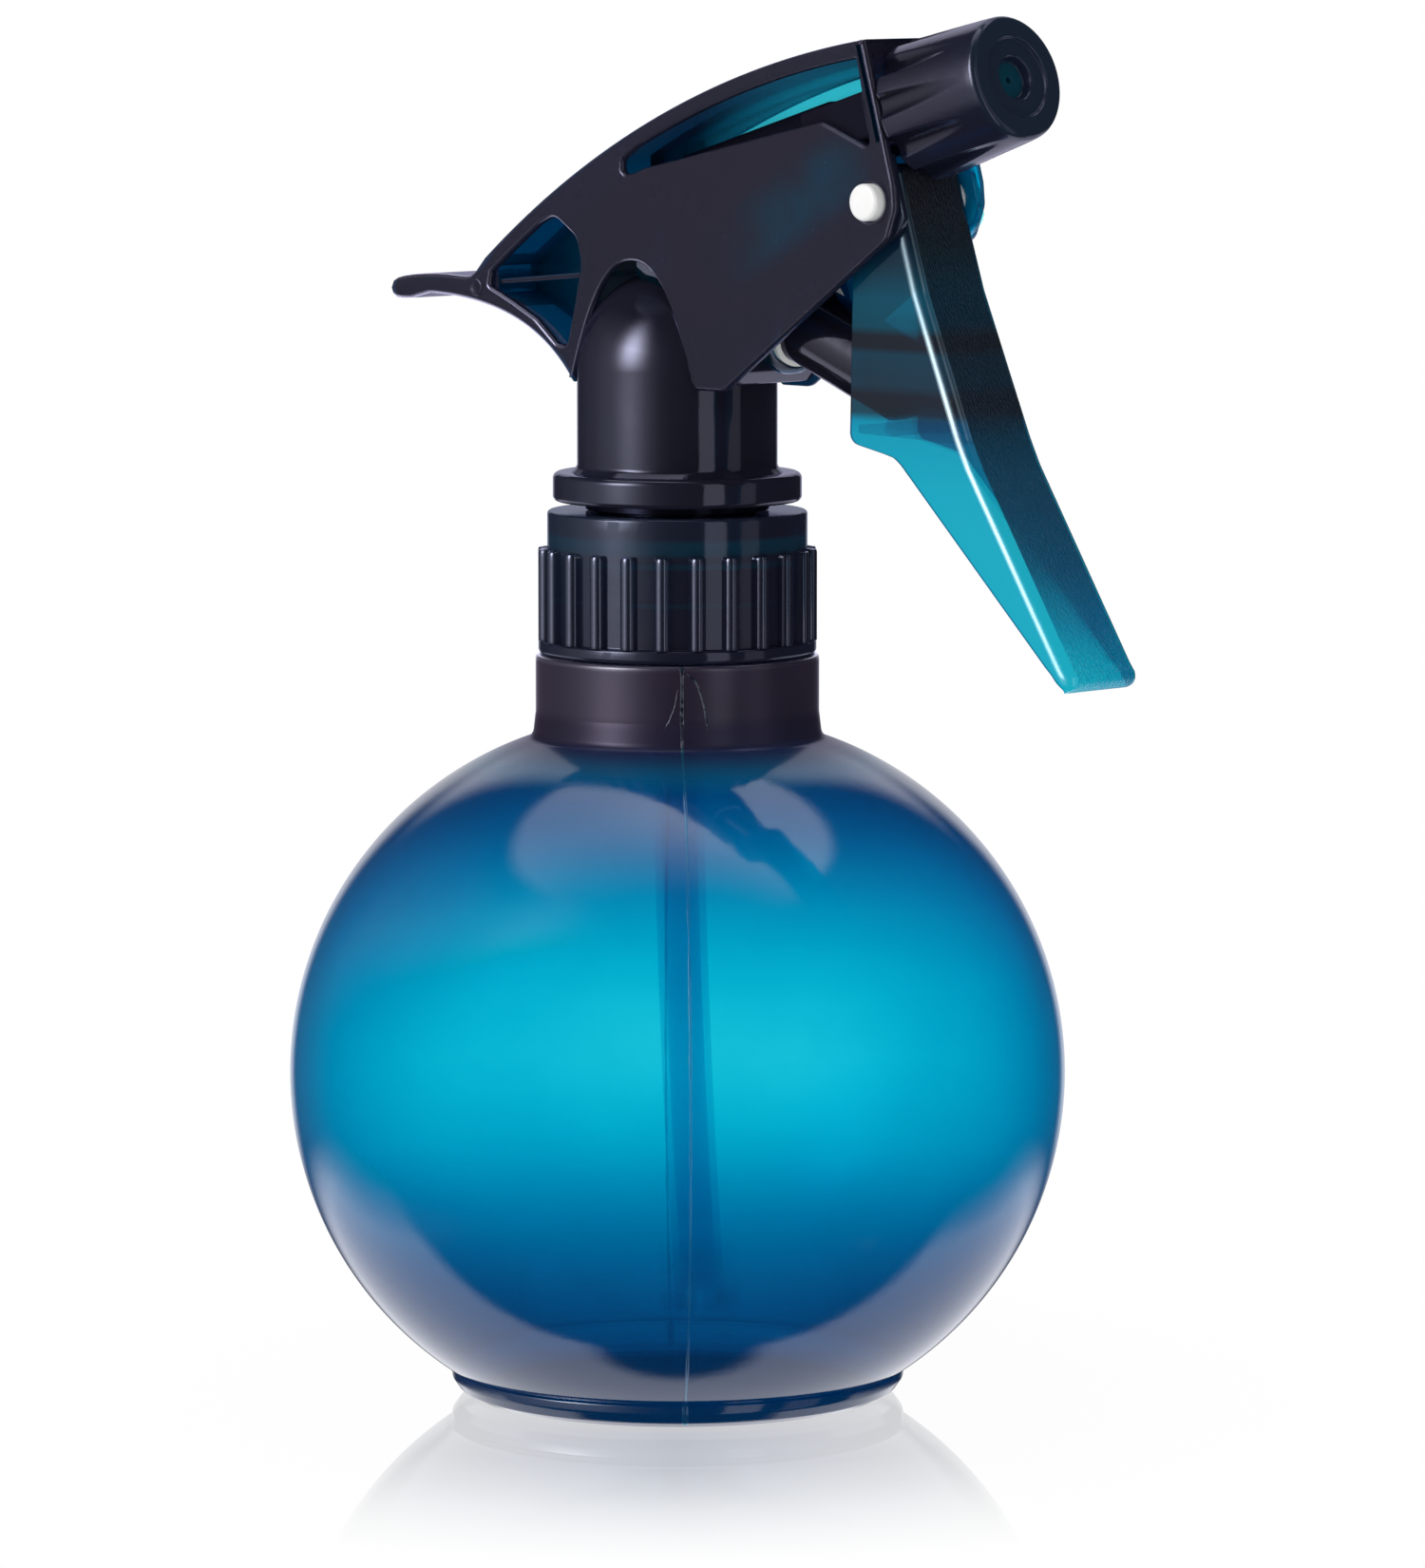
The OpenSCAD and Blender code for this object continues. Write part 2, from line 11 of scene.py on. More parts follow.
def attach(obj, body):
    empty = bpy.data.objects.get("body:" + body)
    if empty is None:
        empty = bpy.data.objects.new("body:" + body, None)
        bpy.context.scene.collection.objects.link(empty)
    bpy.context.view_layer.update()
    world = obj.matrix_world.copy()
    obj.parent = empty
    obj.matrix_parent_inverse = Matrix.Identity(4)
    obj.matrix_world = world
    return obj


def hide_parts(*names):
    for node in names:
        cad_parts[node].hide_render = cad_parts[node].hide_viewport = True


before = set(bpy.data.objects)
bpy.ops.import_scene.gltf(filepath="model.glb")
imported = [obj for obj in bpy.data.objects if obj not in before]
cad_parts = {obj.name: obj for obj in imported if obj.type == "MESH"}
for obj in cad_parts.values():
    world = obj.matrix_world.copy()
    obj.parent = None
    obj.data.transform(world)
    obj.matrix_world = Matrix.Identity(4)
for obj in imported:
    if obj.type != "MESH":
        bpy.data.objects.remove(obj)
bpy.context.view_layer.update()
scene = bpy.context.scene
MM = 0.001

# ------------------------------------------------------------------ driving places
PIVOT = (39.6, 147.3)           # x, z of the trigger's pivot
NOZZLE = (55.7, 162.1)          # x, z of the middle of the nozzle's face
NOZZLE_RISE = radians(16.3)
PUMP = (26.0, 130.6)            # x, z of the pump's origin
PUMP_DROP = radians(22.0)
SPINE_CENTRE = (57.6, 34.2)     # x, z of the centre of the shroud's top arc
SPINE_RADIUS = 133.5
NECK_RADIUS = 17.3
CAMERA_TURN = radians(44.4)     # turn of the camera round Z, from -Y towards +X
TO_CAMERA = (sin(CAMERA_TURN), -cos(CAMERA_TURN), 0.0)
CAMERA_RIGHT = (cos(CAMERA_TURN), sin(CAMERA_TURN), 0.0)
SEAM = atan2(-cos(CAMERA_TURN), sin(CAMERA_TURN)) + radians(2.1)


def at_nozzle(x, y, along):
    """Nozzle frame: along is forward on its axis, x is down across it."""
    return (NOZZLE[0] + x * sin(NOZZLE_RISE) + along * cos(NOZZLE_RISE), y,
            NOZZLE[1] - x * cos(NOZZLE_RISE) + along * sin(NOZZLE_RISE))


def at_pump(x, y, along):
    """Pump frame: along is forward and down on its axis, x is down across it."""
    return (PUMP[0] - x * sin(PUMP_DROP) + along * cos(PUMP_DROP), y,
            PUMP[1] - x * cos(PUMP_DROP) - along * sin(PUMP_DROP))


def about_y(centre, side=1):
    """Places a turned part on an axis along Y through (x, z) = centre."""
    return lambda x, y, z: (centre[0] + x, side * z, centre[1] + y)


# ------------------------------------------------------------------ outlines
def rounded(points, steps=5, closed=True):
    """Rounds the corners of an outline; a point is (x, y) or (x, y, radius)."""
    outline, count = [], len(points)
    for i, point in enumerate(points):
        radius = point[2] if len(point) > 2 else 0
        corner = Vector(point[:2])
        if radius <= 0 or (not closed and i in (0, count - 1)):
            outline.append(tuple(corner))
            continue
        before = Vector(points[i - 1][:2]) - corner
        after = Vector(points[(i + 1) % count][:2]) - corner
        room = 0.49 * before.length, 0.49 * after.length
        before.normalize()
        after.normalize()
        angle = math.acos(max(-1, min(1, before.dot(after))))
        if angle > radians(177) or angle < radians(2):
            outline.append(tuple(corner))
            continue
        setback = min(radius / tan(angle / 2), *room)
        radius = setback * tan(angle / 2)
        centre = corner + (before + after).normalized() * (radius / sin(angle / 2))
        start = corner + before * setback - centre
        end = corner + after * setback - centre
        first = atan2(start.y, start.x)
        turn = (atan2(end.y, end.x) - first + pi) % (2 * pi) - pi
        for k in range(steps + 1):
            angle = first + turn * k / steps
            outline.append((centre.x + radius * cos(angle), centre.y + radius * sin(angle)))
    return outline


def arc(centre, radius, angles):
    """Points on a circle at the given angles in degrees."""
    return [(centre[0] + radius * cos(radians(a)), centre[1] + radius * sin(radians(a)))
            for a in angles]


def bezier(start, pull, end, steps):
    curve = []
    for i in range(steps + 1):
        t = i / steps
        curve.append(tuple(start[k] * (1 - t) ** 2 + 2 * pull[k] * t * (1 - t) + end[k] * t * t
                           for k in (0, 1)))
    return curve


def spaced(start, end, step):
    """Evenly spaced numbers from start up to end, about step apart."""
    count = max(1, round((end - start) / step))
    return [start + (end - start) * i / count for i in range(count + 1)]


def distinct(points, tolerance=1e-4):
    """Drops points that repeat the one before, and a last that repeats the first."""
    kept = []
    for point in points:
        if not kept or math.dist(point, kept[-1]) > tolerance:
            kept.append(point)
    if math.dist(kept[0], kept[-1]) <= tolerance:
        kept.pop()
    return kept


def signed_area(points):
    return 0.5 * sum(points[i - 1][0] * points[i][1] - points[i][0] * points[i - 1][1]
                     for i in range(len(points)))


# ------------------------------------------------------------------ solids
# Each gives a part: its points, its faces and a material slot for each face.
def bridge(ring, other):
    """Quads between two closed rings of point numbers."""
    count = len(ring)
    return [(ring[j], ring[(j + 1) % count], other[(j + 1) % count], other[j])
            for j in range(count)]


def revolve(profile, segments=None, place=None, slot=0, inside_from=math.inf,
            radius_at=None, angles=None):
    """Turns a closed (radius, height) profile round the axis.

    Faces from profile point inside_from on take slot 1.
    radius_at(angle, i, radius, z) can push a point in or out.
    """
    angles = angles or [2 * pi * j / segments for j in range(segments)]
    points, faces, slots, rings = [], [], [], []
    for i, (radius, z) in enumerate(profile):
        start = len(points)
        if radius < 1e-6:
            points.append((0, 0, z))
            rings.append([start] * len(angles))
            continue
        for angle in angles:
            reach = radius_at(angle, i, radius, z) if radius_at else radius
            points.append((reach * cos(angle), reach * sin(angle), z))
        rings.append(range(start, len(points)))
    for k, ring in enumerate(rings):
        for quad in bridge(ring, rings[(k + 1) % len(rings)]):
            face = tuple(dict.fromkeys(quad))
            if len(face) >= 3:
                faces.append(face)
                slots.append(1 if k >= inside_from else slot)
    if place:
        points = [place(*point) for point in points]
    return points, faces, slots


def corner_offsets(loop):
    """For each corner, the inward move that shifts both its edges by 1."""
    offsets = []
    for i, point in enumerate(loop):
        before, here, after = Vector(loop[i - 1]), Vector(point), Vector(loop[(i + 1) % len(loop)])
        edge, next_edge = (here - before).normalized(), (after - here).normalized()
        normal, next_normal = Vector((-edge.y, edge.x)), Vector((-next_edge.y, next_edge.x))
        middle = normal + next_normal
        spread = 1 + normal.dot(next_normal)
        offsets.append(middle / spread if spread > 0.25 else middle.normalized() * 1.4)
    return offsets


def prism(loops, y0, y1, rim0=0.0, rim1=0.0, steps=4, slot=0):
    """A plate from y0 to y1 with rounded rims; its (x, z) view is loops[0] less the rest."""
    turns = [k / steps * pi / 2 for k in range(steps + 1)]
    levels = [(rim0 * (1 - sin(a)), y0 + rim0 * (1 - cos(a))) for a in turns] if rim0 else [(0, y0)]
    levels += [(rim1 * (1 - cos(a)), y1 - rim1 * (1 - sin(a))) for a in turns] if rim1 else [(0, y1)]
    points, faces, first, last = [], [], [], []
    for number, loop in enumerate(loops):
        loop = distinct(loop)
        if (signed_area(loop) > 0) != (number == 0):
            loop = loop[::-1]
        offsets = corner_offsets(loop)
        rings = []
        for inset, y in levels:
            start = len(points)
            for point, offset in zip(loop, offsets):
                moved = Vector(point) + offset * inset
                points.append((moved.x, y, moved.y))
            rings.append(range(start, len(points)))
        for ring, other in zip(rings, rings[1:]):
            faces += bridge(ring, other)
        first.append(rings[0])
        last.append(rings[-1])
    for side in (first, last):
        numbers = [i for ring in side for i in ring]
        flat = [[Vector((points[i][0], points[i][2], 0)) for i in ring] for ring in side]
        faces += [tuple(numbers[i] for i in triangle) for triangle in tessellate_polygon(flat)]
    return points, faces, [slot] * len(faces)


def nozzle_block(x0, x1, half_width, start, end, radius):
    """A rounded block square to the nozzle's axis."""
    outline = rounded([(x0, start, radius), (x1, start, radius), (x1, end, radius),
                       (x0, end, radius)], 3)
    points, faces, slots = prism([outline], -half_width, half_width, radius, radius, 3)
    return [at_nozzle(*point) for point in points], faces, slots


def sweep(sections, slot=0):
    """Joins equal sections into a tube with capped ends."""
    size = len(sections[0])
    rings = [range(i * size, (i + 1) * size) for i in range(len(sections))]
    faces = [quad for ring, other in zip(rings, rings[1:]) for quad in bridge(ring, other)]
    faces += [tuple(rings[0]), tuple(rings[-1])]
    return [point for section in sections for point in section], faces, [slot] * len(faces)


THREAD_PITCH, THREAD_TURNS, THREAD_STEPS = 4.233, 1.25, 64      # steps are per turn
THREAD_ROOT_WIDTH, THREAD_CREST_WIDTH, THREAD_SINK = 2.3, 1.1, 0.4
THREAD_Z = 95.2


def thread(root, crest, start_z):
    """A screw thread from radius root to crest that fades at both ends."""
    count = round(THREAD_TURNS * THREAD_STEPS)
    buried = root - (THREAD_SINK if crest > root else -THREAD_SINK)
    foot, tip = THREAD_ROOT_WIDTH / 2, THREAD_CREST_WIDTH / 2
    sections = []
    for i in range(count + 1):
        angle = 2 * pi * i / THREAD_STEPS
        z = start_z + THREAD_PITCH * i / THREAD_STEPS
        top = root + (crest - root) * min(1, min(i, count - i) / (THREAD_STEPS / 8) + 0.02)
        shape = ((buried, -foot), (root, -foot), (top, -tip), (top, tip), (root, foot),
                 (buried, foot))
        sections.append([(r * cos(angle), r * sin(angle), z + rise) for r, rise in shape])
    return sweep(sections)


def off_centre(angle, start, count):
    """Angle from the nearest of count evenly spaced features."""
    k = (angle - start) * count / (2 * pi)
    return (k - round(k)) * 2 * pi / count


def build(name, parts, materials, body, node, sharp=38):
    points, faces, slots = [], [], []
    for part_points, part_faces, part_slots in parts:
        start = len(points)
        points += [(x * MM, y * MM, z * MM) for x, y, z in part_points]
        faces += [tuple(i + start for i in face) for face in part_faces]
        slots += part_slots
    mesh = bpy.data.meshes.new(name)
    mesh.from_pydata(points, [], faces)
    for material in materials:
        mesh.materials.append(material)
    mesh.polygons.foreach_set("material_index", slots)
    mesh.polygons.foreach_set("use_smooth", [True] * len(faces))
    editable = bmesh.new()
    editable.from_mesh(mesh)
    bmesh.ops.recalc_face_normals(editable, faces=editable.faces)
    editable.to_mesh(mesh)
    editable.free()
    mesh.set_sharp_from_angle(angle=radians(sharp))
    made = bpy.data.objects.new(name, mesh)
    scene.collection.objects.link(made)
    normals = made.modifiers.new("normals", "WEIGHTED_NORMAL")
    normals.keep_sharp = True
    normals.weight = 60
    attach(made, body)
    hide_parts(node)


# ------------------------------------------------------------------ shader nets
def math_operator(operation, swapped=False):
    def apply(self, other=0.0):
        pair = (other, self) if swapped else (self, other)
        return self.net.math(operation, *pair)
    return apply


class Value:
    """A node's output; arithmetic on it adds math nodes to its net."""
    __add__ = math_operator("ADD")
    __radd__ = math_operator("ADD", swapped=True)
    __sub__ = math_operator("SUBTRACT")
    __rsub__ = math_operator("SUBTRACT", swapped=True)
    __mul__ = math_operator("MULTIPLY")
    __rmul__ = math_operator("MULTIPLY", swapped=True)
    __truediv__ = math_operator("DIVIDE")
    __pow__ = math_operator("POWER")
    __abs__ = math_operator("ABSOLUTE")

    def __init__(self, net, socket):
        self.net, self.socket = net, socket

    def output(self, key):
        """Another output of the same node."""
        return Value(self.net, self.socket.node.outputs[key])

    def clamped(self):
        """Limits the math node behind this value to 0..1."""
        self.socket.node.use_clamp = True
        return self

    def step(self, zero_at, one_at):
        """0 at zero_at, 1 at one_at, smooth between; either may be the larger."""
        ends = (zero_at, one_at, 0, 1) if zero_at <= one_at else (one_at, zero_at, 1, 0)
        return self.net.node("ShaderNodeMapRange", (self, *ends),
                             interpolation_type="SMOOTHSTEP")

    def between(self, zero_at, one_at, other_zero_or_one, other_end):
        """The product of two steps: a band with soft edges."""
        return self.step(zero_at, one_at) * self.step(other_zero_or_one, other_end)

    def gradient(self, stops):
        """Colour ramp along this value: stops are (value, (r, g, b)), linear colours."""
        low, high = stops[0][0], stops[-1][0]
        node = self.net.add("ShaderNodeValToRGB", [(self - low) / (high - low)])
        elements = node.color_ramp.elements
        while len(elements) > 1:
            elements.remove(elements[0])
        for i, (at, colour) in enumerate(stops):
            position = (at - low) / (high - low)
            element = elements.new(position) if i else elements[0]
            element.position = position
            element.color = (*colour, 1)
        return Value(self.net, node.outputs[0])

    def ramp(self, stops):
        """Piecewise linear function of this value: stops are (value, result)."""
        top = max(result for at, result in stops)
        return self.gradient([(at, (result / top,) * 3) for at, result in stops]) * top

    def paint(self, stops):
        """Colour ramp whose stops are (value, (r, g, b)) in sRGB 0 to 255."""
        return self.gradient([(at, [linear(part) for part in rgb]) for at, rgb in stops])


def linear(part):
    """An sRGB part, 0 to 255, as linear light."""
    return (part / 255 / 12.92) if part <= 10 else ((part / 255 + 0.055) / 1.055) ** 2.4


def product(first, *rest):
    return first * product(*rest) if rest else first


class Net:
    """The node tree of a material or world."""
    def __init__(self, owner):
        owner.use_nodes = True
        self.owner, self.tree = owner, owner.node_tree
        self.tree.nodes.clear()

    def put(self, socket, value):
        if isinstance(value, Value):
            self.tree.links.new(value.socket, socket)
        elif isinstance(value, tuple) and socket.type == "RGBA":
            socket.default_value = (*value, 1)
        else:
            socket.default_value = value

    def add(self, kind, inputs=(), **settings):
        """Adds a node; inputs is a list in order or a dict, and None is left alone."""
        node = self.tree.nodes.new(kind)
        for key, value in settings.items():
            setattr(node, key, value)
        for key, value in inputs.items() if isinstance(inputs, dict) else enumerate(inputs):
            if value is not None:
                self.put(node.inputs[key], value)
        return node

    def node(self, kind, inputs=(), output=0, **settings):
        return Value(self, self.add(kind, inputs, **settings).outputs[output])

    def finish(self, shader, kind="Material"):
        self.add(f"ShaderNodeOutput{kind}", [shader])
        return self.owner

    def math(self, operation, first, second=0.0):
        return self.node("ShaderNodeMath", [first, second], operation=operation)

    def vector(self, operation, first, second=(0, 0, 0), output="Vector"):
        return self.node("ShaderNodeVectorMath", [first, second], output, operation=operation)

    def dot(self, first, second):
        return self.vector("DOT_PRODUCT", first, second, "Value")

    def distance(self, first, second):
        """Length of the 2D vector (first, second)."""
        return self.math("SQRT", first * first + second * second)

    def mix(self, factor, colour, other):
        """colour where factor is 0, other where it is 1."""
        return self.node("ShaderNodeMix", {0: factor, 6: colour, 7: other}, 2, data_type="RGBA")

    def mix_shaders(self, factor, shader, other):
        return self.node("ShaderNodeMixShader", [factor, shader, other])

    @cached_property
    def position(self):
        """Object position in metres."""
        return self.node("ShaderNodeTexCoord", output="Object")

    def in_mm(self):
        return self.vector("MULTIPLY", self.position, (1000, 1000, 1000))

    @cached_property
    def parts(self):
        return self.node("ShaderNodeSeparateXYZ", [self.in_mm()])

    # object position in millimetres
    x = property(lambda self: self.parts.output(0))
    y = property(lambda self: self.parts.output(1))
    z = property(lambda self: self.parts.output(2))

    @cached_property
    def geometry(self):
        return self.node("ShaderNodeNewGeometry")

    def normal_along(self, axis, kind="Normal"):
        return self.dot(self.geometry.output(kind), axis)

    def facing(self, normal=None):
        """1 seen face on, 0 seen edge on."""
        return abs(self.dot(normal or self.geometry.output("Normal"),
                            self.geometry.output("Incoming")))

    def noise(self, scale, detail=3.0, rough=0.5, stretch=None):
        place = self.vector("MULTIPLY", self.position, stretch) if stretch else self.position
        return self.node("ShaderNodeTexNoise", {"Scale": scale, "Detail": detail,
                                                "Roughness": rough, "Vector": place})

    def bump(self, height, strength, distance):
        return self.node("ShaderNodeBump", {"Height": height, "Strength": strength,
                                            "Distance": distance})

    def skin(self, fine=700, slow=110, share=0.10):
        """Moulded surface: noise scales of grain and waves, and the grain's share."""
        grain = self.noise(fine, detail=2.0)
        waves = self.noise(slow, detail=1.5)
        return self.bump(grain * share + waves, strength=0.10, distance=0.0006)


def material_net(name):
    return Net(bpy.data.materials.new(name))


# How fast the dye swallows red, green and blue.
DYE = (9.0, 1.02, 0.50)
TRIGGER_DYE = (6.0, 1.0, 0.65)


def dye_colour(net, depth, rates):
    """What is left of white light; the main dye takes a little more blue when deep."""
    exponents = [net.math("MULTIPLY", depth, -rate) for rate in rates]
    if rates is DYE:
        exponents[2] = exponents[2] - net.math("MULTIPLY", depth, depth) * 0.06
    return net.node("ShaderNodeCombineXYZ", [net.math("EXPONENT", e) for e in exponents])


def clear_plastic(net, depth, rough, normal=None, haze=0.0, haze_colour=(0.0, 0.35, 0.5),
                  shine=(0.76, 0.75, 1.0), rates=DYE, face_shine=0.04, edge_shine=0.7,
                  boost=None):
    """Dyed clear plastic: lets light through with a tint, scatters a little and shines.

    haze_colour can be a function, called once for each of the two scattering shaders.
    face_shine and edge_shine weigh the gloss face on and what grazing views add.
    """
    def scattered():
        return haze_colour() if callable(haze_colour) else haze_colour
    through = net.node("ShaderNodeBsdfTransparent", [dye_colour(net, depth, rates)])
    diffuse = net.node("ShaderNodeBsdfDiffuse",
                       {"Color": scattered(), "Roughness": 0.5, "Normal": normal})
    translucent = net.node("ShaderNodeBsdfTranslucent", [scattered()])
    body = net.mix_shaders(haze, through, net.mix_shaders(0.5, diffuse, translucent))
    gloss = net.node("ShaderNodeBsdfGlossy", {0: shine, "Roughness": rough, "Normal": normal})
    strength = face_shine + edge_shine * (1.0 - net.facing(normal)).clamped() ** 5.0
    if boost is not None:
        strength = (strength * boost).clamped()
    # seen from inside the wall the shine is weaker
    strength = strength * (1.0 - net.geometry.output("Backfacing") * 0.75)
    return net.finish(net.mix_shaders(strength, body, gloss))


def navy(net, dark=(0.022, 0.020, 0.038), light=(0.024, 0.026, 0.048)):
    """Deep navy with slow blotches."""
    return net.mix(net.noise(45.0, detail=2.0).step(0.35, 0.7), dark, light)


def solid(net, colours, rough, normal, **extra):
    """Opaque material; extra holds more Principled inputs, _ standing for a space."""
    inputs = {"Base Color": net.mix(*colours), "Roughness": rough, "Normal": normal}
    inputs.update({key.replace("_", " "): value for key, value in extra.items()})
    return net.finish(net.node("ShaderNodeBsdfPrincipled", inputs))


# ------------------------------------------------------------------ bottle plastic
def bottle_depth(net):
    """Dye crossed by the light: deep at foot and neck, and where the wall is edge on."""
    by_height = net.z.ramp([
        (0, 1.25), (8, 1.12), (12.5, 0.98), (17, 0.74), (22, 0.42), (26, 0.21), (31, 0.07),
        (36, 0.0), (47, 0.0), (54, 0.1), (59, 0.26), (63.5, 0.43), (68, 0.64), (73, 1.02),
        (78, 1.25), (82, 1.7), (90, 2.0), (95, 1.2), (106, 1.2)])
    edge_on = 0.98 * (1.0 - net.facing()).clamped() ** 1.68
    cloud = (net.noise(26.0, detail=1.5, rough=0.4) - 0.5) * 0.42
    return net.math("MAXIMUM", 0.05, (0.27 + by_height) + (edge_on + cloud))


def bottle_wall():
    net = material_net("bottle_wall")

    def haze_colour():
        neck = net.mix(net.noise(60, detail=2).step(0.35, 0.7),
                       (0.030, 0.020, 0.038), (0.042, 0.024, 0.048))
        return net.mix(net.z.step(76, 81), (0.0, 0.30, 0.42), neck)
    # The shine drowns in the glow of the bright middle and shows on the dark parts.
    neck = net.mix(net.z.step(85.0, 83.0), (0.70, 0.66, 0.86), (0.34, 0.32, 0.44))
    upper = net.mix(net.z.step(76, 82), (0.95, 0.95, 1.0), neck)
    with_rim = net.mix(net.z.step(90.2, 90.7), upper, (1.6, 1.6, 1.9))
    darkness = bottle_depth(net).step(0.55, 0.92)
    return clear_plastic(
        net, depth=bottle_depth(net), rough=0.085 + net.z.step(78, 82) * 0.22,
        normal=net.skin(fine=900, slow=70, share=0.12),
        haze=0.05 + net.z.step(76, 80.4) * 0.60 + net.z.step(80.4, 81.4) * 0.28,
        haze_colour=haze_colour, edge_shine=0.55,
        shine=net.mix(darkness, (0.0, 0.008, 0.010), with_rim))


def bottle_wall_inside():
    net = material_net("bottle_wall_inside")
    return clear_plastic(net, depth=net.noise(200, detail=2) * 0.04, rough=0.15,
                         face_shine=0.004, edge_shine=0.1)


def bottle_seam():
    """Nearly clear down the belly, flecked grey on the neck."""
    net = material_net("bottle_seam")

    def haze_colour():
        flecks = net.mix(net.noise(1100, detail=2).step(0.45, 0.58),
                         (0.012, 0.012, 0.02), (0.22, 0.24, 0.28))
        return net.mix(net.z.step(80.5, 81.5), (0.1, 0.5, 0.62), flecks)
    neck_haze = 0.22 + net.noise(900, detail=2).step(0.42, 0.6) * 0.24
    return clear_plastic(net, depth=0.02 + net.noise(180, detail=2) * 0.1, rough=0.08,
                         haze=0.12 + net.z.step(80.5, 81.5) * neck_haze,
                         haze_colour=haze_colour)


# ------------------------------------------------------------------ head plastic
def thin_glow(net):
    """1 where the +Y plate is one wall thick and the light comes through."""
    flat = abs(net.normal_along((0.0, 1.0, 0.0))).step(0.80, 0.95)
    return (net.x.step(39.0, 40.5) * net.y.step(0.0, 1.0) * flat
            * net.z.between(154.0, 151.0, 139.0, 142.0))


def plate_colour(net):
    """Satin navy with painted light: a teal glow patch forward of the dome, mottled glow in the
    front corner and teal glow on the faces inside the rear window.
    """
    along = net.x * 0.86 + net.z * 0.51
    across = net.z * 0.86 - net.x * 0.51
    # painted glow: a teal patch where light seems to shine through the plate
    painted_glow = along.between(80.0, 98.0, 113.0, 105.0) * across.between(106.6, 110.5, 118.0, 113.0)
    painted_glow = painted_glow * (0.35 + net.noise(110.0, detail=2.0).step(0.36, 0.60) * 0.65)
    # lighter blue blotches towards the front corner: random mottling that also paints the glow of
    # light through that corner
    blots = ((net.x + net.z * -1.2).step(-127.0, -118.0)
             * net.noise(70.0, detail=2.0).step(0.5, 0.68))
    up, ahead = (net.normal_along(axis, "True Normal")
                 for axis in ((0.0, 0.0, 1.0), (1.0, 0.0, 0.0)))
    # faces of the rear window that look down, up and forward, painted with a teal glow of light
    # coming through
    roof = up.step(-0.1, -0.3) * net.z.step(137.0, 139.0)
    ground = up.step(0.1, 0.3) * net.z.step(138.0, 137.0) * net.x.step(-25.6, -25.2)
    wall = ahead.step(0.5, 0.7) * net.x.between(-24.4, -24.2, -22.0, -23.0)
    window = ((roof + ground + wall).clamped()
              * (abs(net.y).step(7.0, 6.9) * net.x.step(-7.0, -9.0)))
    base = navy(net, (0.034, 0.029, 0.050), (0.030, 0.031, 0.056))
    colour = net.mix(blots * 0.5, base, (0.014, 0.05, 0.11))
    colour = net.mix(painted_glow * 0.9, colour, (0.006, 0.085, 0.155))
    return net.mix(window, colour, (0.001, 0.065, 0.145))


def shroud_plate():
    net = material_net("shroud_plate")
    blots = net.noise(38.0, detail=1.5, rough=0.4).step(0.52, 0.72)
    thick = 1.15 - blots * 0.35
    # the rounded rims of the -Y plate shine more
    rim = abs(net.normal_along((0.0, 1.0, 0.0))).between(0.985, 0.90, 0.10, 0.30)
    by_height = net.z.ramp([(120, 6.0), (143, 6.0), (148, 2.0), (170, 1.5)])
    return clear_plastic(
        net, depth=thick + thin_glow(net) * (0.60 - thick),
        rough=0.22 + net.noise(300, detail=2) * 0.08,
        normal=net.skin(fine=1400, slow=90), haze=0.62 - thin_glow(net) * 0.56,
        haze_colour=lambda: plate_colour(net), shine=(0.34, 0.33, 0.46),
        boost=1.0 + rim * net.y.step(-6.0, -7.0) * by_height)


def web_painted_shade(net):
    """1 where the centre web runs over the pump's dome, where it is painted dark and nearly opaque:
    painted shade inside the head.
    """
    return net.x.between(-16.4, -14.6, -1.5, -3.0)


def web_colour(net):
    """Teal that brightens forward, a painted glow of light through the web, with two dark arcs along
    the spine and painted shade over the dome.
    """
    # painted glow: the teal brightens towards the front, as lit through the top window
    colour = net.x.paint([
        (-26, (3, 62, 92)), (-16, (3, 62, 92)), (-6, (7, 50, 74)), (2, (8, 70, 100)),
        (9, (0, 112, 148)), (17, (0, 160, 192)), (25, (0, 194, 222)), (40, (0, 198, 225))])
    radius = net.distance(net.x - SPINE_CENTRE[0], net.z - SPINE_CENTRE[1])
    arcs = (radius.between(129.9, 130.1, 130.55, 130.35)
            + radius.between(128.3, 128.4, 128.7, 128.6))
    colour = net.mix(arcs * net.x.step(0.0, 4.0) * 0.8, colour, (0.0, 0.045, 0.075))
    colour = net.mix(radius.step(131.0, 132.2) * 0.5, colour, (0.0, 0.08, 0.13))
    return net.mix(web_painted_shade(net), colour, (0.014, 0.016, 0.030))


def shroud_web():
    net = material_net("shroud_web")
    haze = net.x.ramp([(-26, 0.72), (2, 0.66), (10, 0.40), (20, 0.28), (40, 0.28)])
    # the web turns nearly opaque and dark over the dome, as painted shade
    return clear_plastic(
        net, depth=0.17, rough=0.15, normal=net.skin(),
        haze=net.math("MAXIMUM", haze, web_painted_shade(net) * 0.97),
        haze_colour=lambda: web_colour(net), rates=(9.0, 1.0, 0.55),
        shine=(0.2, 0.3, 0.35), face_shine=0.012, edge_shine=0.1)


def shroud_rib():
    net = material_net("shroud_rib")
    return clear_plastic(net, depth=0.03 + net.noise(200, detail=2) * 0.04, rough=0.2,
                         haze=0.02, haze_colour=(0.0, 0.1, 0.15), face_shine=0.01,
                         edge_shine=0.05)


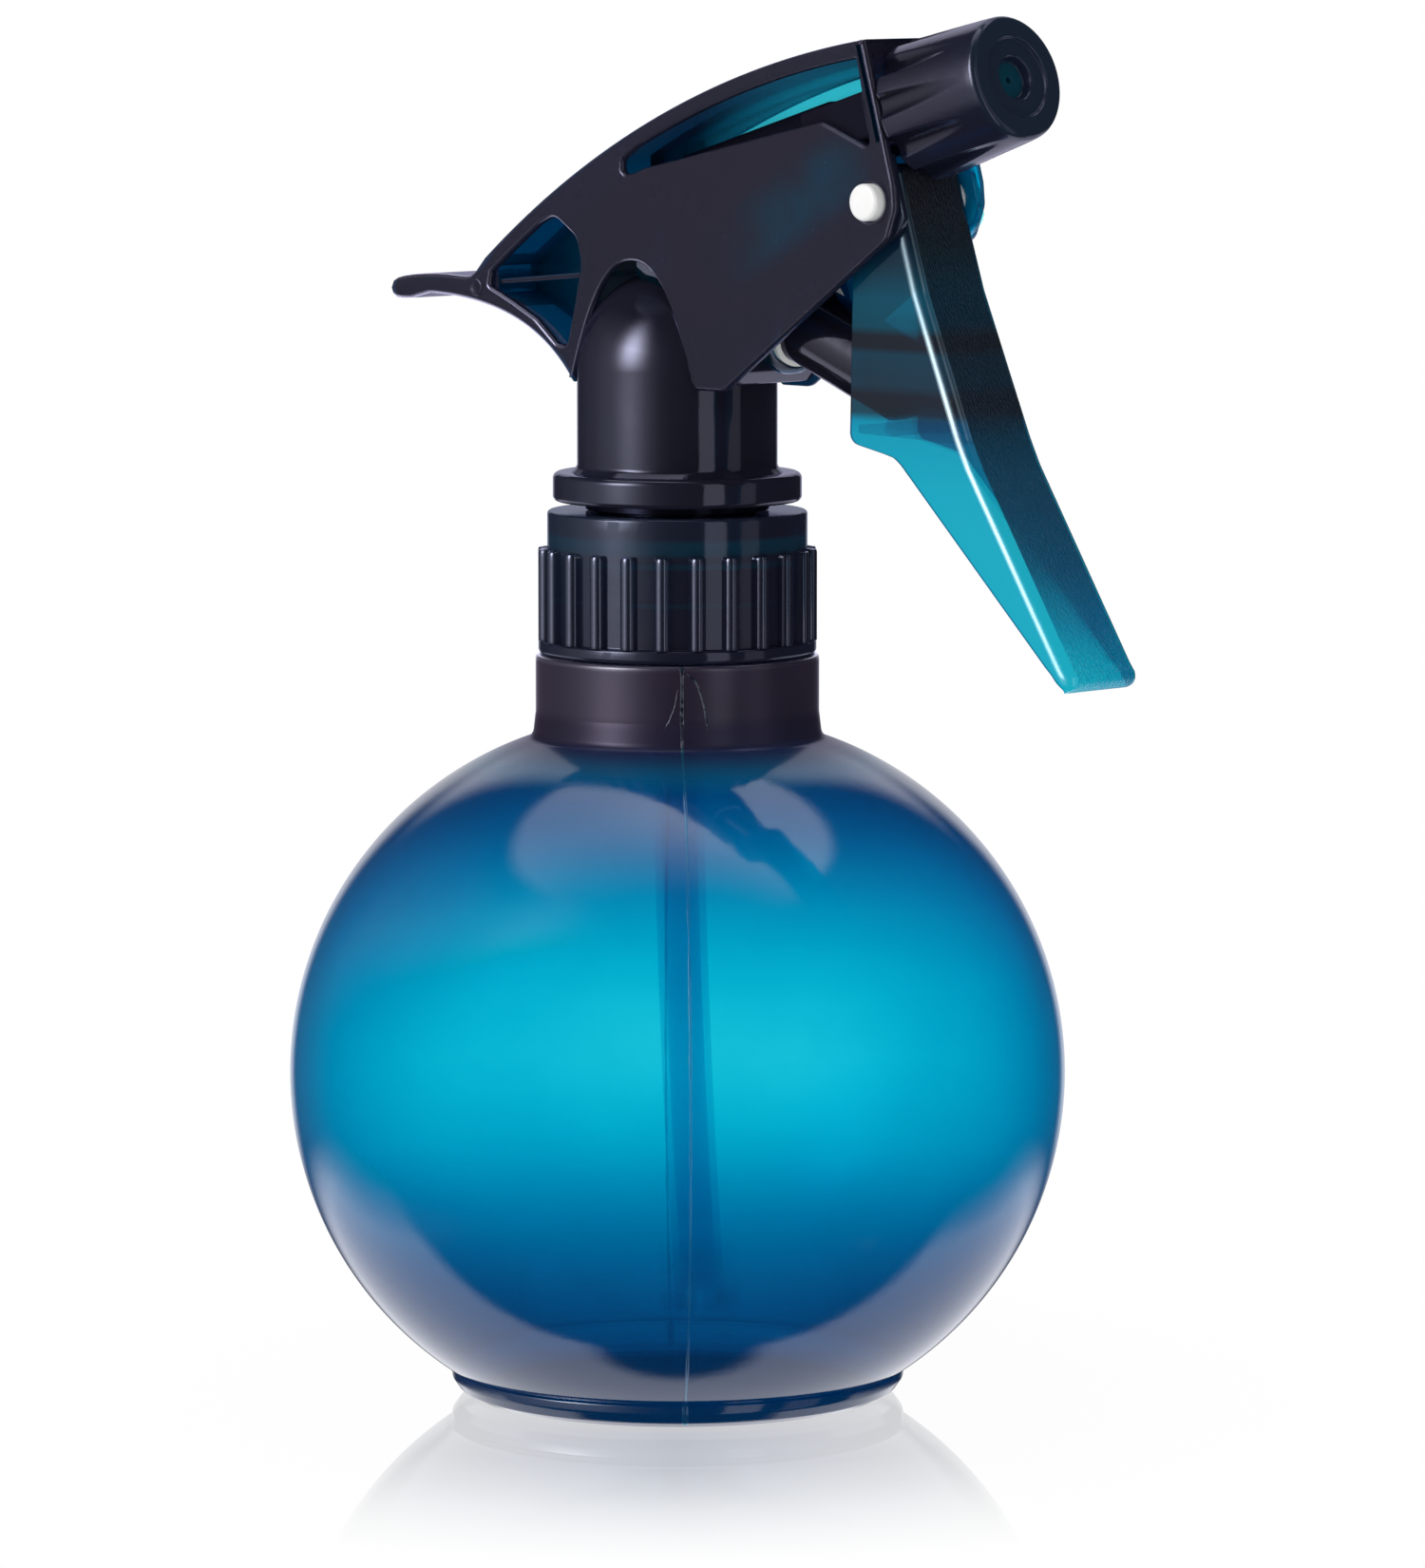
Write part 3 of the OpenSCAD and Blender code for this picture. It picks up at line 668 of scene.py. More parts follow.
def pump_body_gloss():
    net = material_net("pump_body_gloss")
    dome = net.z.step(131.5, 134.5)
    return clear_plastic(net, depth=1.5, rough=0.07, normal=net.skin(), haze=0.92,
                         haze_colour=lambda: navy(net), edge_shine=0.35,
                         shine=net.mix(dome, (0.72, 0.73, 1.0), (0.03, 0.035, 0.06)))


def pump_body_inside():
    return clear_plastic(material_net("pump_body_inside"), depth=1.2, rough=0.2, haze=0.7,
                         haze_colour=(0.012, 0.02, 0.04), face_shine=0.02)


def pump_housing():
    net = material_net("pump_housing")
    return clear_plastic(net, depth=0.42, rough=0.10, normal=net.skin(), haze=0.18,
                         haze_colour=(0.02, 0.09, 0.14))


def pump_body_ears():
    net = material_net("pump_body_ears")

    def far_pivot_glow():
        """1 round the pivot on the +Y side, where a teal glow is painted: painted light."""
        radius = net.distance(net.x - PIVOT[0], net.z - PIVOT[1])
        return radius.step(4.6, 4.0) * net.y.step(0.0, 1.0)
    side_haze = 0.02 + net.y.step(1.0, -1.0) * 0.88
    # the -Y ear is opaque navy; the teal round the +Y pivot is a painted glow
    return clear_plastic(
        net, depth=0.06, rough=0.10, haze=net.math("MAXIMUM", side_haze, far_pivot_glow() * 0.93),
        haze_colour=lambda: net.mix(far_pivot_glow(), (0.018, 0.022, 0.045), (0.0, 0.26, 0.46)),
        rates=(12.0, 1.0, 0.5), shine=(0.5, 0.6, 0.75))


# ------------------------------------------------------------------ bottle
# Profiles are (radius, z) with an optional corner radius.
BELLY_CENTRE = (3.9, 39.5)
BELLY_RADIUS, BELLY_WALL = 43.6, 1.3
FOOT = [(0, 0), (25.4, 0, 0.7), (26.9, 0.7, 0.8), (27.75, 1.9, 0.8), (27.85, 2.9, 0.35),
        (27.45, 3.3, 0.2), (27.95, 3.6)]
NECK = [(19.0, 80.3), (17.65, 81.0, 1.4), (NECK_RADIUS, 84.0, 2.0), (NECK_RADIUS, 90.0),
        (NECK_RADIUS, 91.0, 0.9), (16.0, 91.0)]
MOUTH_RADIUS, MOUTH_BORE, MOUTH_TOP = 12.5, 10.6, 104.6
MOUTH = [(MOUTH_RADIUS, 91.0, 0.4), (MOUTH_RADIUS, MOUTH_TOP, 0.4), (MOUTH_BORE, MOUTH_TOP, 0.4),
         (MOUTH_BORE, 90.0, 1.2), (14.6, 87.6, 1.2), (14.6, 80.9, 0.8)]


def belly(radius, z0, z1, steps):
    first, last = (math.asin((z - BELLY_CENTRE[1]) / radius) for z in (z0, z1))
    angles = [first + (last - first) * i / steps for i in range(steps + 1)]
    return [(BELLY_CENTRE[0] + radius * cos(a), BELLY_CENTRE[1] + radius * sin(a))
            for a in angles]


bottle_outside = (rounded(FOOT, 4, closed=False)[:-1] + belly(BELLY_RADIUS, 3.45, 80.55, 120)
                  + rounded(NECK, 5, closed=False)[1:])
bottle_inside = belly(BELLY_RADIUS - BELLY_WALL, 1.9, 80.3, 90)[::-1] + [(20.5, 1.7), (0, 1.7)]
bottle_profile = distinct(bottle_outside + rounded(MOUTH, 4) + bottle_inside)
bore_start = next(i for i, (radius, z) in enumerate(bottle_profile) if radius < 11.4 and z > 100)


def ridge(half_width, height, sink):
    """Section of a thin raised line: (across, outwards)."""
    return ((-half_width, -sink), (-half_width, 0.0), (0, height), (half_width, 0.0),
            (half_width, -sink))


def seam_line(angle, half_width=0.16, height=0.07):
    """A mould seam up the outside that swells and thins with height."""
    line = [point for point in bottle_outside if point[1] > 0.3 or point[0] > 26]
    sections = []
    for i, (radius, z) in enumerate(line):
        before, after = line[max(0, i - 1)], line[min(len(line) - 1, i + 1)]
        tangent = Vector((after[0] - before[0], after[1] - before[1])).normalized()
        foot = 1.3 if z < 3.2 else 0.0
        neck = (0.9 if 84 < z < 91 else 0) * abs(sin(z * 2.1))
        swell = 1.0 + foot + 0.35 * sin(z * 0.9) * sin(z * 0.23) + neck
        section = []
        for across, out in ridge(half_width * min(swell, 2.4), height * swell, 0.25):
            reach = radius + tangent.y * out
            section.append((reach * cos(angle) - across * sin(angle),
                            reach * sin(angle) + across * cos(angle), z - tangent.x * out))
        sections.append(section)
    return sweep(sections, slot=2)


def flow_line(stations, half_width, height):
    """A faint line on the neck; stations are (mm round from the seam, z)."""
    path = [tuple(here[q] + (after[q] - here[q]) * k / 6 for q in (0, 1))
            for here, after in zip(stations, stations[1:]) for k in range(6)]
    path.append(stations[-1])
    last = len(path) - 1
    path = [tuple(sum(path[min(max(i + k, 0), last)][q] for k in (-2, -1, 0, 1, 2)) / 5
                  for q in (0, 1)) for i in range(last + 1)]
    sections = []
    for i, (around, z) in enumerate(path):
        before, after = path[max(0, i - 1)], path[min(last, i + 1)]
        length = math.dist(before, after)
        side_around, side_z = -(after[1] - before[1]) / length, (after[0] - before[0]) / length
        fade = min(1.0, i / 3, (last - i) / 3) * 0.9 + 0.1
        radius = NECK_RADIUS if z > 83.9 else NECK_RADIUS + 0.05 * (83.9 - z) ** 2
        section = []
        for across, out in ridge(half_width * fade, height * fade, 0.3):
            angle = SEAM + (around + side_around * across) / NECK_RADIUS
            section.append(((radius + out) * cos(angle), (radius + out) * sin(angle),
                            z + side_z * across))
        sections.append(section)
    return sweep(sections, slot=2)


build("bottle_body", [
    revolve(bottle_profile, 256, inside_from=bore_start),
    thread(MOUTH_RADIUS, 13.7, THREAD_Z),
    seam_line(SEAM),
    seam_line(SEAM + pi),
    flow_line([(0.35, 90.3), (1.7, 89.2), (2.5, 86.9), (2.9, 84.6), (3.3, 82.2)],
              half_width=0.13, height=0.08),
    flow_line([(-3.9, 82.3), (-1.9, 83.6), (-0.9, 86.0), (-0.5, 88.4)],
              half_width=0.07, height=0.05),
    flow_line([(-11.5, 82.9), (-9.0, 82.6), (-7.8, 83.3)], half_width=0.06, height=0.04),
], [bottle_wall(), bottle_wall_inside(), bottle_seam()],
    "bottle", "bottle", sharp=50)


# ------------------------------------------------------------------ collar
def collar_gloss():
    net = material_net("collar_gloss")

    def haze_colour():
        """Navy with patchy paler bands at three heights and spots on the skirt."""
        upper = net.z.between(103.7, 104.5, 106.3, 105.4)
        middle = (net.z.between(102.3, 102.7, 103.4, 102.9)
                  * (net.noise(24, detail=1).step(0.48, 0.62) * 0.7))
        lower = (net.z.between(97.7, 98.0, 98.5, 98.2)
                 * (net.noise(33, detail=1).step(0.46, 0.6) * 0.7))
        patches = net.noise(30, detail=2).step(0.30, 0.55)
        bands = ((upper + middle + lower) * patches).clamped()
        skirt = net.z.step(92.9, 92.5) * net.noise(42, detail=1).step(0.55, 0.66)
        colour = navy(net, (0.020, 0.022, 0.046), (0.022, 0.032, 0.062))
        colour = net.mix(bands * 0.8, colour, (0.008, 0.062, 0.115))
        return net.mix(skirt, colour, (0.0, 0.10, 0.16))
    rib_tops = net.distance(net.x, net.y).step(16.2, 16.7) * net.z.step(92.8, 93.2)
    return clear_plastic(net, depth=1.3, rough=0.07 + net.noise(420, detail=2) * 0.05,
                         normal=net.skin(fine=900, slow=150, share=0.15), haze=0.94,
                         haze_colour=haze_colour, shine=(0.66, 0.70, 0.95),
                         boost=1.0 + rib_tops * 1.1, edge_shine=0.28)


COLLAR_RADIUS = 15.85
RIB_COUNT, RIB_CENTRE, RIB_RADIUS = 24, 16.15, 0.95
RIB_TOP = 103.45                # where the ribs begin to round off
RIB_START = radians(8.2)
# angles of the mesh columns from each rib's middle, in degrees
RIB_COLUMNS = (-7.2, -5.4, -3.9, -3.28, -3.05, -2.7, -2.25, -1.7, -1.1, -0.55,
               0, 0.55, 1.1, 1.7, 2.25, 2.7, 3.05, 3.28, 3.9, 5.4)
COLLAR_LEVELS = (93.0, 93.3, 94, 95, 96, 97, 98, 99, 100, 101, 102, 102.8, RIB_TOP, 103.65,
                 103.85, 104.0, 104.13, 104.24, 104.32, 104.37, 104.41, 104.7, 105.2, 106.0,
                 106.8)
COLLAR_SKIRT = [(14.0, 91.15, 0.2), (16.75, 91.15, 0.35), (16.95, 91.6, 0.3), (16.95, 92.75, 0.3),
                (COLLAR_RADIUS, 92.8, 0.15), (COLLAR_RADIUS, 93.0)]
COLLAR_TOP = [(COLLAR_RADIUS, 106.8), (COLLAR_RADIUS, 108.5, 0.38), (9.9, 108.5, 0.2),
              (9.9, 107.0, 0.2), (14.0, 107.0, 0.4)]


def ribbed(angle, i, radius, z):
    """Pushes the collar's side out to the round grip ribs."""
    if not (radius > 15.8 and 92.78 < z < 104):
        return radius
    half_width = RIB_RADIUS if z <= RIB_TOP else sqrt(RIB_RADIUS ** 2 - (z - RIB_TOP) ** 2)
    off = off_centre(angle, RIB_START, RIB_COUNT)
    across = RIB_CENTRE * sin(off)
    if abs(across) >= half_width:
        return radius
    return max(radius, RIB_CENTRE * cos(off) + sqrt(half_width ** 2 - across ** 2))


collar_profile = distinct(rounded(COLLAR_SKIRT, 4)[:-1]
                          + [(COLLAR_RADIUS, z) for z in COLLAR_LEVELS]
                          + rounded(COLLAR_TOP, 5)[1:])
collar_angles = [RIB_START + radians(360 * i / RIB_COUNT + column)
                 for i in range(RIB_COUNT) for column in RIB_COLUMNS]
build("collar_ring", [
    revolve(collar_profile, radius_at=ribbed, angles=collar_angles),
    thread(14.2, 12.85, THREAD_Z - THREAD_PITCH / 2),
], [collar_gloss()], "collar", "collar", sharp=42)


# ------------------------------------------------------------------ nozzle cap
def nozzle_satin():
    net = material_net("nozzle_satin")

    def haze_colour():
        """Navy, paler on the front face, with painted shade darkening the flutes, teal in the
        middle.
        """
        axis = (cos(NOZZLE_RISE), 0, sin(NOZZLE_RISE))
        offset = net.vector("SUBTRACT", net.in_mm(), (NOZZLE[0], 0, NOZZLE[1]))
        along = net.dot(offset, axis)
        on_axis = net.vector("MULTIPLY", axis, net.node("ShaderNodeCombineXYZ", [along] * 3))
        across = net.vector("LENGTH", net.vector("SUBTRACT", offset, on_axis), output="Value")
        flute_depth = 8.45 - (along + 14.6) * 0.0687 - across
        # painted shade: the flutes are darkened in colour
        flutes = flute_depth.step(0.05, 0.45) * along.step(-1.0, -2.2) * 0.7
        core = across.step(2.5, 1.9) * along.step(-3.2, -2.6)
        blots = net.noise(60, detail=1.5).step(0.58, 0.75) * 0.45
        colour = navy(net, (0.022, 0.020, 0.042), (0.022, 0.026, 0.055))
        colour = net.mix(along.step(-1.2, -0.2), colour, (0.022, 0.036, 0.066))
        colour = net.mix(flutes, colour, (0.006, 0.007, 0.014))
        colour = net.mix(blots, colour, (0.010, 0.05, 0.10))
        return net.mix(core * 0.9, colour, (0.003, 0.078, 0.130))
    return clear_plastic(net, depth=1.3, rough=0.11 + net.noise(500, detail=2) * 0.08,
                         normal=net.skin(fine=1300, slow=260, share=0.3), haze=0.95,
                         haze_colour=haze_colour, edge_shine=0.4)


FLUTE_COUNT, FLUTE_START, FLUTE_RADIUS = 10, radians(14.37), 1.9
FLUTE_LIP = 0.22                # softens the edge between flute and land
CAP_REAR = [(5.0, -15.1), (7.9, -15.1)]                 # radius, along
CAP_STATIONS = (-14.2, -13.4, -12.4, -11.4, -10.4, -9.4, -8.4, -7.4, -6.4, -5.4, -4.6, -3.9,
                -3.3, -2.8, -2.4, -2.0, -1.7)
CAP_FACE = [(7.55, -1.6), (7.42, 0.0, 0.85), (4.9, 0.0, 0.25), (4.7, -0.4, 0.15),
            (2.65, -0.4, 0.3), (2.3, -1.5, 0.2), (0.38, -1.5, 0.1), (0.35, -2.8), (3.4, -2.8),
            (3.4, -4.6), (5.0, -4.6)]
cap_wall = [(8.1 + 0.35 * sin(radians(90 * i / 4)), -15.1 + 0.5 * (1 - cos(radians(90 * i / 4))))
            for i in range(5)]
cap_wall += [(8.45 - 0.9 * (along + 14.6) / 13.1, along) for along in CAP_STATIONS]
fluted_end = len(CAP_REAR) + len(cap_wall) + 3


def fluted(angle, i, radius, along):
    """Cuts round flutes into the cap's wall."""
    if not 1 <= i < fluted_end:
        return radius
    centre = 9.36 + (along + 15.23) * tan(radians(1.0))
    off = off_centre(angle, FLUTE_START, FLUTE_COUNT)
    across = centre * sin(off)
    if abs(across) >= FLUTE_RADIUS:
        return radius
    cut = centre * cos(off) - sqrt(FLUTE_RADIUS ** 2 - across ** 2)
    share = max(0, min(1, 0.5 + 0.5 * (radius - cut) / FLUTE_LIP))
    return radius * (1 - share) + cut * share - FLUTE_LIP * share * (1 - share) * 0.5


build("nozzle_cap_body",
      [revolve(CAP_REAR + cap_wall + rounded(CAP_FACE, 6)[1:], 300, at_nozzle, radius_at=fluted)],
      [nozzle_satin()], "nozzle", "nozzle_cap", sharp=45)

# ------------------------------------------------------------------ pump body
TUBE_RADIUS, DOME_Z = 12.2, 125.8
TUBE_OUTSIDE = [(9.6, 106.95), (9.6, 108.7), (11.2, 108.7, 0.1), (11.2, 109.7, 0.2),
                (14.9, 109.7, 0.55), (15.16, 110.2, 0.3), (15.16, 113.2, 0.75), (12.95, 113.2),
                (TUBE_RADIUS, 113.9, 0.7), (TUBE_RADIUS, DOME_Z)]
TUBE_HOLLOW = [(0, 136.4), (2.0, 136.4), (2.0, 119.6), (3.4, 119.6), (3.4, 106.95),
               (5.3, 106.95), (5.3, 123.6), (10.8, 123.6), (10.8, 114.6), (8.3, 114.6),
               (8.3, 106.95)]
CYLINDER = [(0, -28), (7.0, -28, 0.5), (7.0, -4.3, 0.5), (5.6, -4.3, 0.4), (5.6, -26.0),
            (0, -26.0)]
BARREL = [(0, -54), (5.0, -54, 0.3), (5.0, -29, 0.4), (3.9, -29, 0.3), (3.9, -9.6),
          (4.35, -9.6, 0.2), (4.35, -8.5, 0.2), (3.9, -8.5), (3.9, -5.0, 0.4), (2.6, -5.0),
          (2.6, -21.0), (1.6, -21.0), (1.6, -49), (0, -49)]
TUBE_BLOCK = [(8, 125.2), (11, 124.6, 1), (15.6, 124.6, 0.8), (17.4, 126.2, 0.5), (18.5, 134),
              (8, 138)]
CENTRE_FIN = [(6, 138), (24, 134.5), (26.5, 137.5), (33.6, 152), (8, 150)]
FRONT_WALL = -15.7              # along the nozzle's axis, front of the shroud's end wall
# upper corners of the pivot ears, from the pivot
EAR_TOP = [(2.8, 4.15), (2.8, 5.7), (-0.4, 6.2), (-3.0, 7.3), (-6.2, 7.2), (-6.2, 2.5)]


def ear_outline():
    """A lug round the pivot, cut off where it meets the front wall."""
    def wall_x(z):
        return NOZZLE[0] + FRONT_WALL / cos(NOZZLE_RISE) - (z - NOZZLE[1]) * tan(NOZZLE_RISE)
    lug = arc(PIVOT, 5.0, range(180, 361, 10))
    lug += [(PIVOT[0] + x, PIVOT[1] + z) for x, z in EAR_TOP]
    return distinct([(min(x, wall_x(z)), z) for x, z in lug])


tube_outside = rounded(TUBE_OUTSIDE, 5, closed=False)
tube_outside += arc((0, DOME_Z), TUBE_RADIUS, range(3, 90, 3)) + [(0, DOME_Z + TUBE_RADIUS)]
parts = [
    revolve(distinct(tube_outside + TUBE_HOLLOW), 160,
            inside_from=len(distinct(tube_outside)) - 1),
    revolve(rounded(CYLINDER, 4), 96, at_pump, slot=2),
    revolve(rounded(BARREL, 3), 96, at_nozzle),
    nozzle_block(-3.4, 2.2, half_width=7, start=-29, end=-18, radius=0.5),
]
for y0, y1 in ((-7, -6.1), (6.1, 7)):
    parts.append(prism([ear_outline(), arc(PIVOT, 2.22, range(0, 360, 10))], y0, y1,
                       0.2, 0.2, steps=2, slot=3))
parts.append(prism([rounded(TUBE_BLOCK, 3)], -7, 7, 0.3, 0.3, steps=3))
parts.append(prism([CENTRE_FIN], -1.5, 1.5, 0.3, 0.3, steps=2))
build("pump_body_moulding", parts,
      [pump_body_gloss(), pump_body_inside(), pump_housing(), pump_body_ears()],
      "head", "pump_body", sharp=40)


# ------------------------------------------------------------------ shroud
def spine(x, depth=0.0):
    """A point on the shroud's top arc, or depth mm inside it."""
    return (x, SPINE_CENTRE[1] + sqrt((SPINE_RADIUS - depth) ** 2 - (x - SPINE_CENTRE[0]) ** 2))


def spine_run(start, end, depth=0.0):
    return [spine(x, depth) for x in spaced(start, end, 1.3)]


# Side views are (x, z) with an optional corner radius.
TAIL_UNDER = [(-38.6, 133.15), (-40.2, 133.05), (-41.3, 133.1), (-42.0, 133.5)]
TAIL_TOP = [(-42.35, 134.3), (-41.95, 135.2), (-41.2, 135.6), (-40.2, 135.85), (-38.4, 136.1),
            (-36.2, 136.28), (-34.2, 136.35), (-32.3, 136.35), (-30.4, 136.25), (-28.9, 136.2),
            (-28.0, 136.35), (-27.2, 136.9)]
# x stations of the arch that clears the upright tube
ARCH_X = (10.33, 10.1, 9.8, 9.4, 8.9, 8.3, 7.6, 6.8, 5.9, 5, 4, 3, 2, 1, 0, -1, -2, -3, -4, -5,
          -5.9, -6.8, -7.6, -8.3, -8.9, -9.4, -9.8, -10.1)
FRONT = [spine(38.2), (38.45, 166.3, 0.7), (43.35, 149.3, 3), (43.6, 146.6, 2.4),
         (42.2, 142.8, 2.2), (18.9, 126.3, 3.0), (15.6, 123.9, 2.2), (11.0, 123.9, 0.5),
         (10.33, 124.3)]
TOP_WINDOW = [(*spine(37.15, 2.1), 0.5), (39.45, 153.6, 0.5), (33.6, 155.9, 1.5),
              (31.6, 156.6, 1.5), (2.0, 150.3), (0.2, 149.65, 0.8), (-1.6, 149.4, 0.8),
              (-1.5, 151.2, 0.8)]
REAR_WINDOW = [(-24.75, 135.2, 0.5), (-24.3, 136.9, 0.8), (-20.7, 139.6), (-15.9, 143.0, 2),
               (-13.4, 144.1, 2), (-9.6, 141.6, 2.2), (-8.7, 138.4, 2), (-9.8, 133.8),
               (-11.2, 128.3, 0.8), (-12.9, 128.6, 0.8), (-16.5, 131.5, 3), (-20.7, 133.5, 3)]
REAR_WEB = [(-24.9, 133.4), (-24.9, 138.4), (-14, 146), (-4, 150), (-4, 140), (-9.4, 128.0),
            (-11.2, 127.4), (-16.5, 130.6), (-20.5, 132.6)]
WINDOW_RIB = [(-24.9, 135.3), (-9.1, 136.7), (-9.1, 137.35), (-24.9, 135.9)]
BUTTON = [(0, 7.9), (1.05, 7.9), (1.05, 8.12, 0.08), (0.8, 8.12), (0.7, 8.07), (0, 8.07)]
BUTTON_PLACE = (-26.9, 134.9)
SHROUD_WALL_Y = 7.08            # the cross walls run into both plates

arch = [(x, 123.4 + 15.6 * (1 - (abs(x) / 10.4) ** 2.3)) for x in ARCH_X]
rear_curve = bezier((-10.2, 124.0), (-17.5, 133.6), (-35.5, 133.9), 30)
outline = (spine_run(-25.6, 38.0) + rounded(FRONT, 6, closed=False)[1:-1] + arch[1:]
           + rear_curve + TAIL_UNDER + TAIL_TOP)
openings = [rounded(spine_run(0.9, 36.8, depth=2.1) + TOP_WINDOW, 5),
            rounded(REAR_WINDOW, 6),
            arc(PIVOT, 2.24, range(0, 360, 8))]
spine_wall = spine_run(-25.3, 38.3) + spine_run(-23.6, 37.9, depth=2.0)[::-1]
tail = ([(-23.9, 138.9), (-24.9, 138.9), (-27.2, 136.9)] + TAIL_TOP[::-1][1:] + TAIL_UNDER[::-1]
        + [point for point in rear_curve if point[0] < -23.8][::-1] + [(-23.9, 132.5)])
under = [point for point in rear_curve if point[0] > -25]
under_wall = under + [(x + 1.1, z + 1.7) for x, z in under][::-1]
top_web = ([spine(x, 1) for x in spaced(-4, 38, 2)]
           + [(38.4, 157), (27, 153.7), (-4, 144.4)])

# side plates: y0, y1 and the rim radius at each
parts = [prism([outline, *openings], *ends, steps=5)
         for ends in ((-8.0, -7.05, 0.55, 0.12), (7.05, 8.0, 0.12, 0.55))]
parts += [prism([wall], -SHROUD_WALL_Y, SHROUD_WALL_Y) for wall in (spine_wall, tail, under_wall)]
parts += [prism([web], -0.55, 0.55, slot=1) for web in (top_web, REAR_WEB)]
parts.append(prism([WINDOW_RIB], -6.8, -6.25, 0.15, 0.0, steps=2))
parts.append(prism([WINDOW_RIB], -6.25, 6.8, slot=2))
parts.append(nozzle_block(-9, 3.6, half_width=8, start=-17, end=FRONT_WALL, radius=0.35))
parts += [revolve(rounded(BUTTON, 3), 40, about_y(BUTTON_PLACE, side)) for side in (-1, 1)]
build("shroud_moulding", parts, [shroud_plate(), shroud_web(), shroud_rib()],
      "head", "shroud", sharp=35)


# ------------------------------------------------------------------ pivot pin
def white_acetal():
    net = material_net("white_acetal")
    return solid(net, (net.noise(400), (0.80, 0.80, 0.79), (0.90, 0.90, 0.90)),
                 rough=0.3 + net.noise(900, detail=2) * 0.15,
                 normal=net.bump(net.noise(1500, detail=2), strength=0.12, distance=0.0002),
                 Subsurface_Weight=0.2, Subsurface_Radius=(0.002, 0.002, 0.002))


PIN = [(0, -9.4), (2.2, -9.4, 0.5), (2.2, 9.4, 0.5), (0, 9.4)]
build("pivot_pin_rod", [revolve(rounded(PIN, 5), 64, about_y(PIVOT))],
      [white_acetal()], "head", "pivot_pin")


# ------------------------------------------------------------------ trigger plastic
def trigger_depth(net):
    # dye depth by height; rising up the lever it darkens the part under the head, painted shade
    return net.z.ramp([
        (90, 0.47), (108, 0.47), (114, 0.51), (118, 0.63), (120, 0.69), (122, 0.95),
        (128, 0.98), (134, 1.02), (136, 1.06), (138, 1.25), (140, 1.45), (143, 1.9),
        (147, 2.2), (152, 2.2)])


def painted_light_upper(net):
    """0 on the clear lower half of the lever, 1 above, where its glow and shade are painted into a
    hazy colour.
    """
    return net.z.step(121.2, 122.6)


def side_painted_light(net):
    # painted light and shade by height: teal glow where light comes through, dark bands where the
    # piston and ribs inside block it, darker up under the head
    return net.z.paint([
        (118, (0, 120, 150)), (121.4, (30, 80, 100)), (122.6, (40, 40, 52)),
        (124.6, (46, 40, 54)), (125.8, (44, 74, 98)), (129.4, (34, 82, 108)),
        (130.2, (42, 38, 52)), (131.6, (42, 40, 54)), (132.6, (14, 98, 124)),
        (136, (6, 106, 134)), (138, (18, 88, 114)), (140, (28, 68, 90)), (143, (24, 46, 70)),
        (152, (22, 36, 55))])


def trigger_wall():
    net = material_net("trigger_wall")
    # the upper half takes the painted light and shade of the side
    return clear_plastic(net, depth=trigger_depth(net) + 0.32, rough=0.10,
                         normal=net.skin(fine=900, slow=120, share=0.12),
                         haze=0.05 + painted_light_upper(net) * 0.78, haze_colour=lambda: side_painted_light(net),
                         shine=(0.28, 0.40, 0.48), rates=TRIGGER_DYE)


def trigger_corner():
    net = material_net("trigger_corner")
    # the upper half takes the painted light and shade of the side
    return clear_plastic(net, depth=0.15 + trigger_depth(net) * 1.1, rough=0.20,
                         normal=net.skin(fine=900, slow=120, share=0.08),
                         haze=0.10 + painted_light_upper(net) * 0.75, haze_colour=lambda: side_painted_light(net),
                         shine=(0.50, 0.66, 0.74), rates=TRIGGER_DYE,
                         boost=net.z.ramp([(90, 2.2), (110, 4.0), (124, 5.0), (130, 4.2),
                                           (136, 3.0), (142, 1.6), (152, 1.6)]))


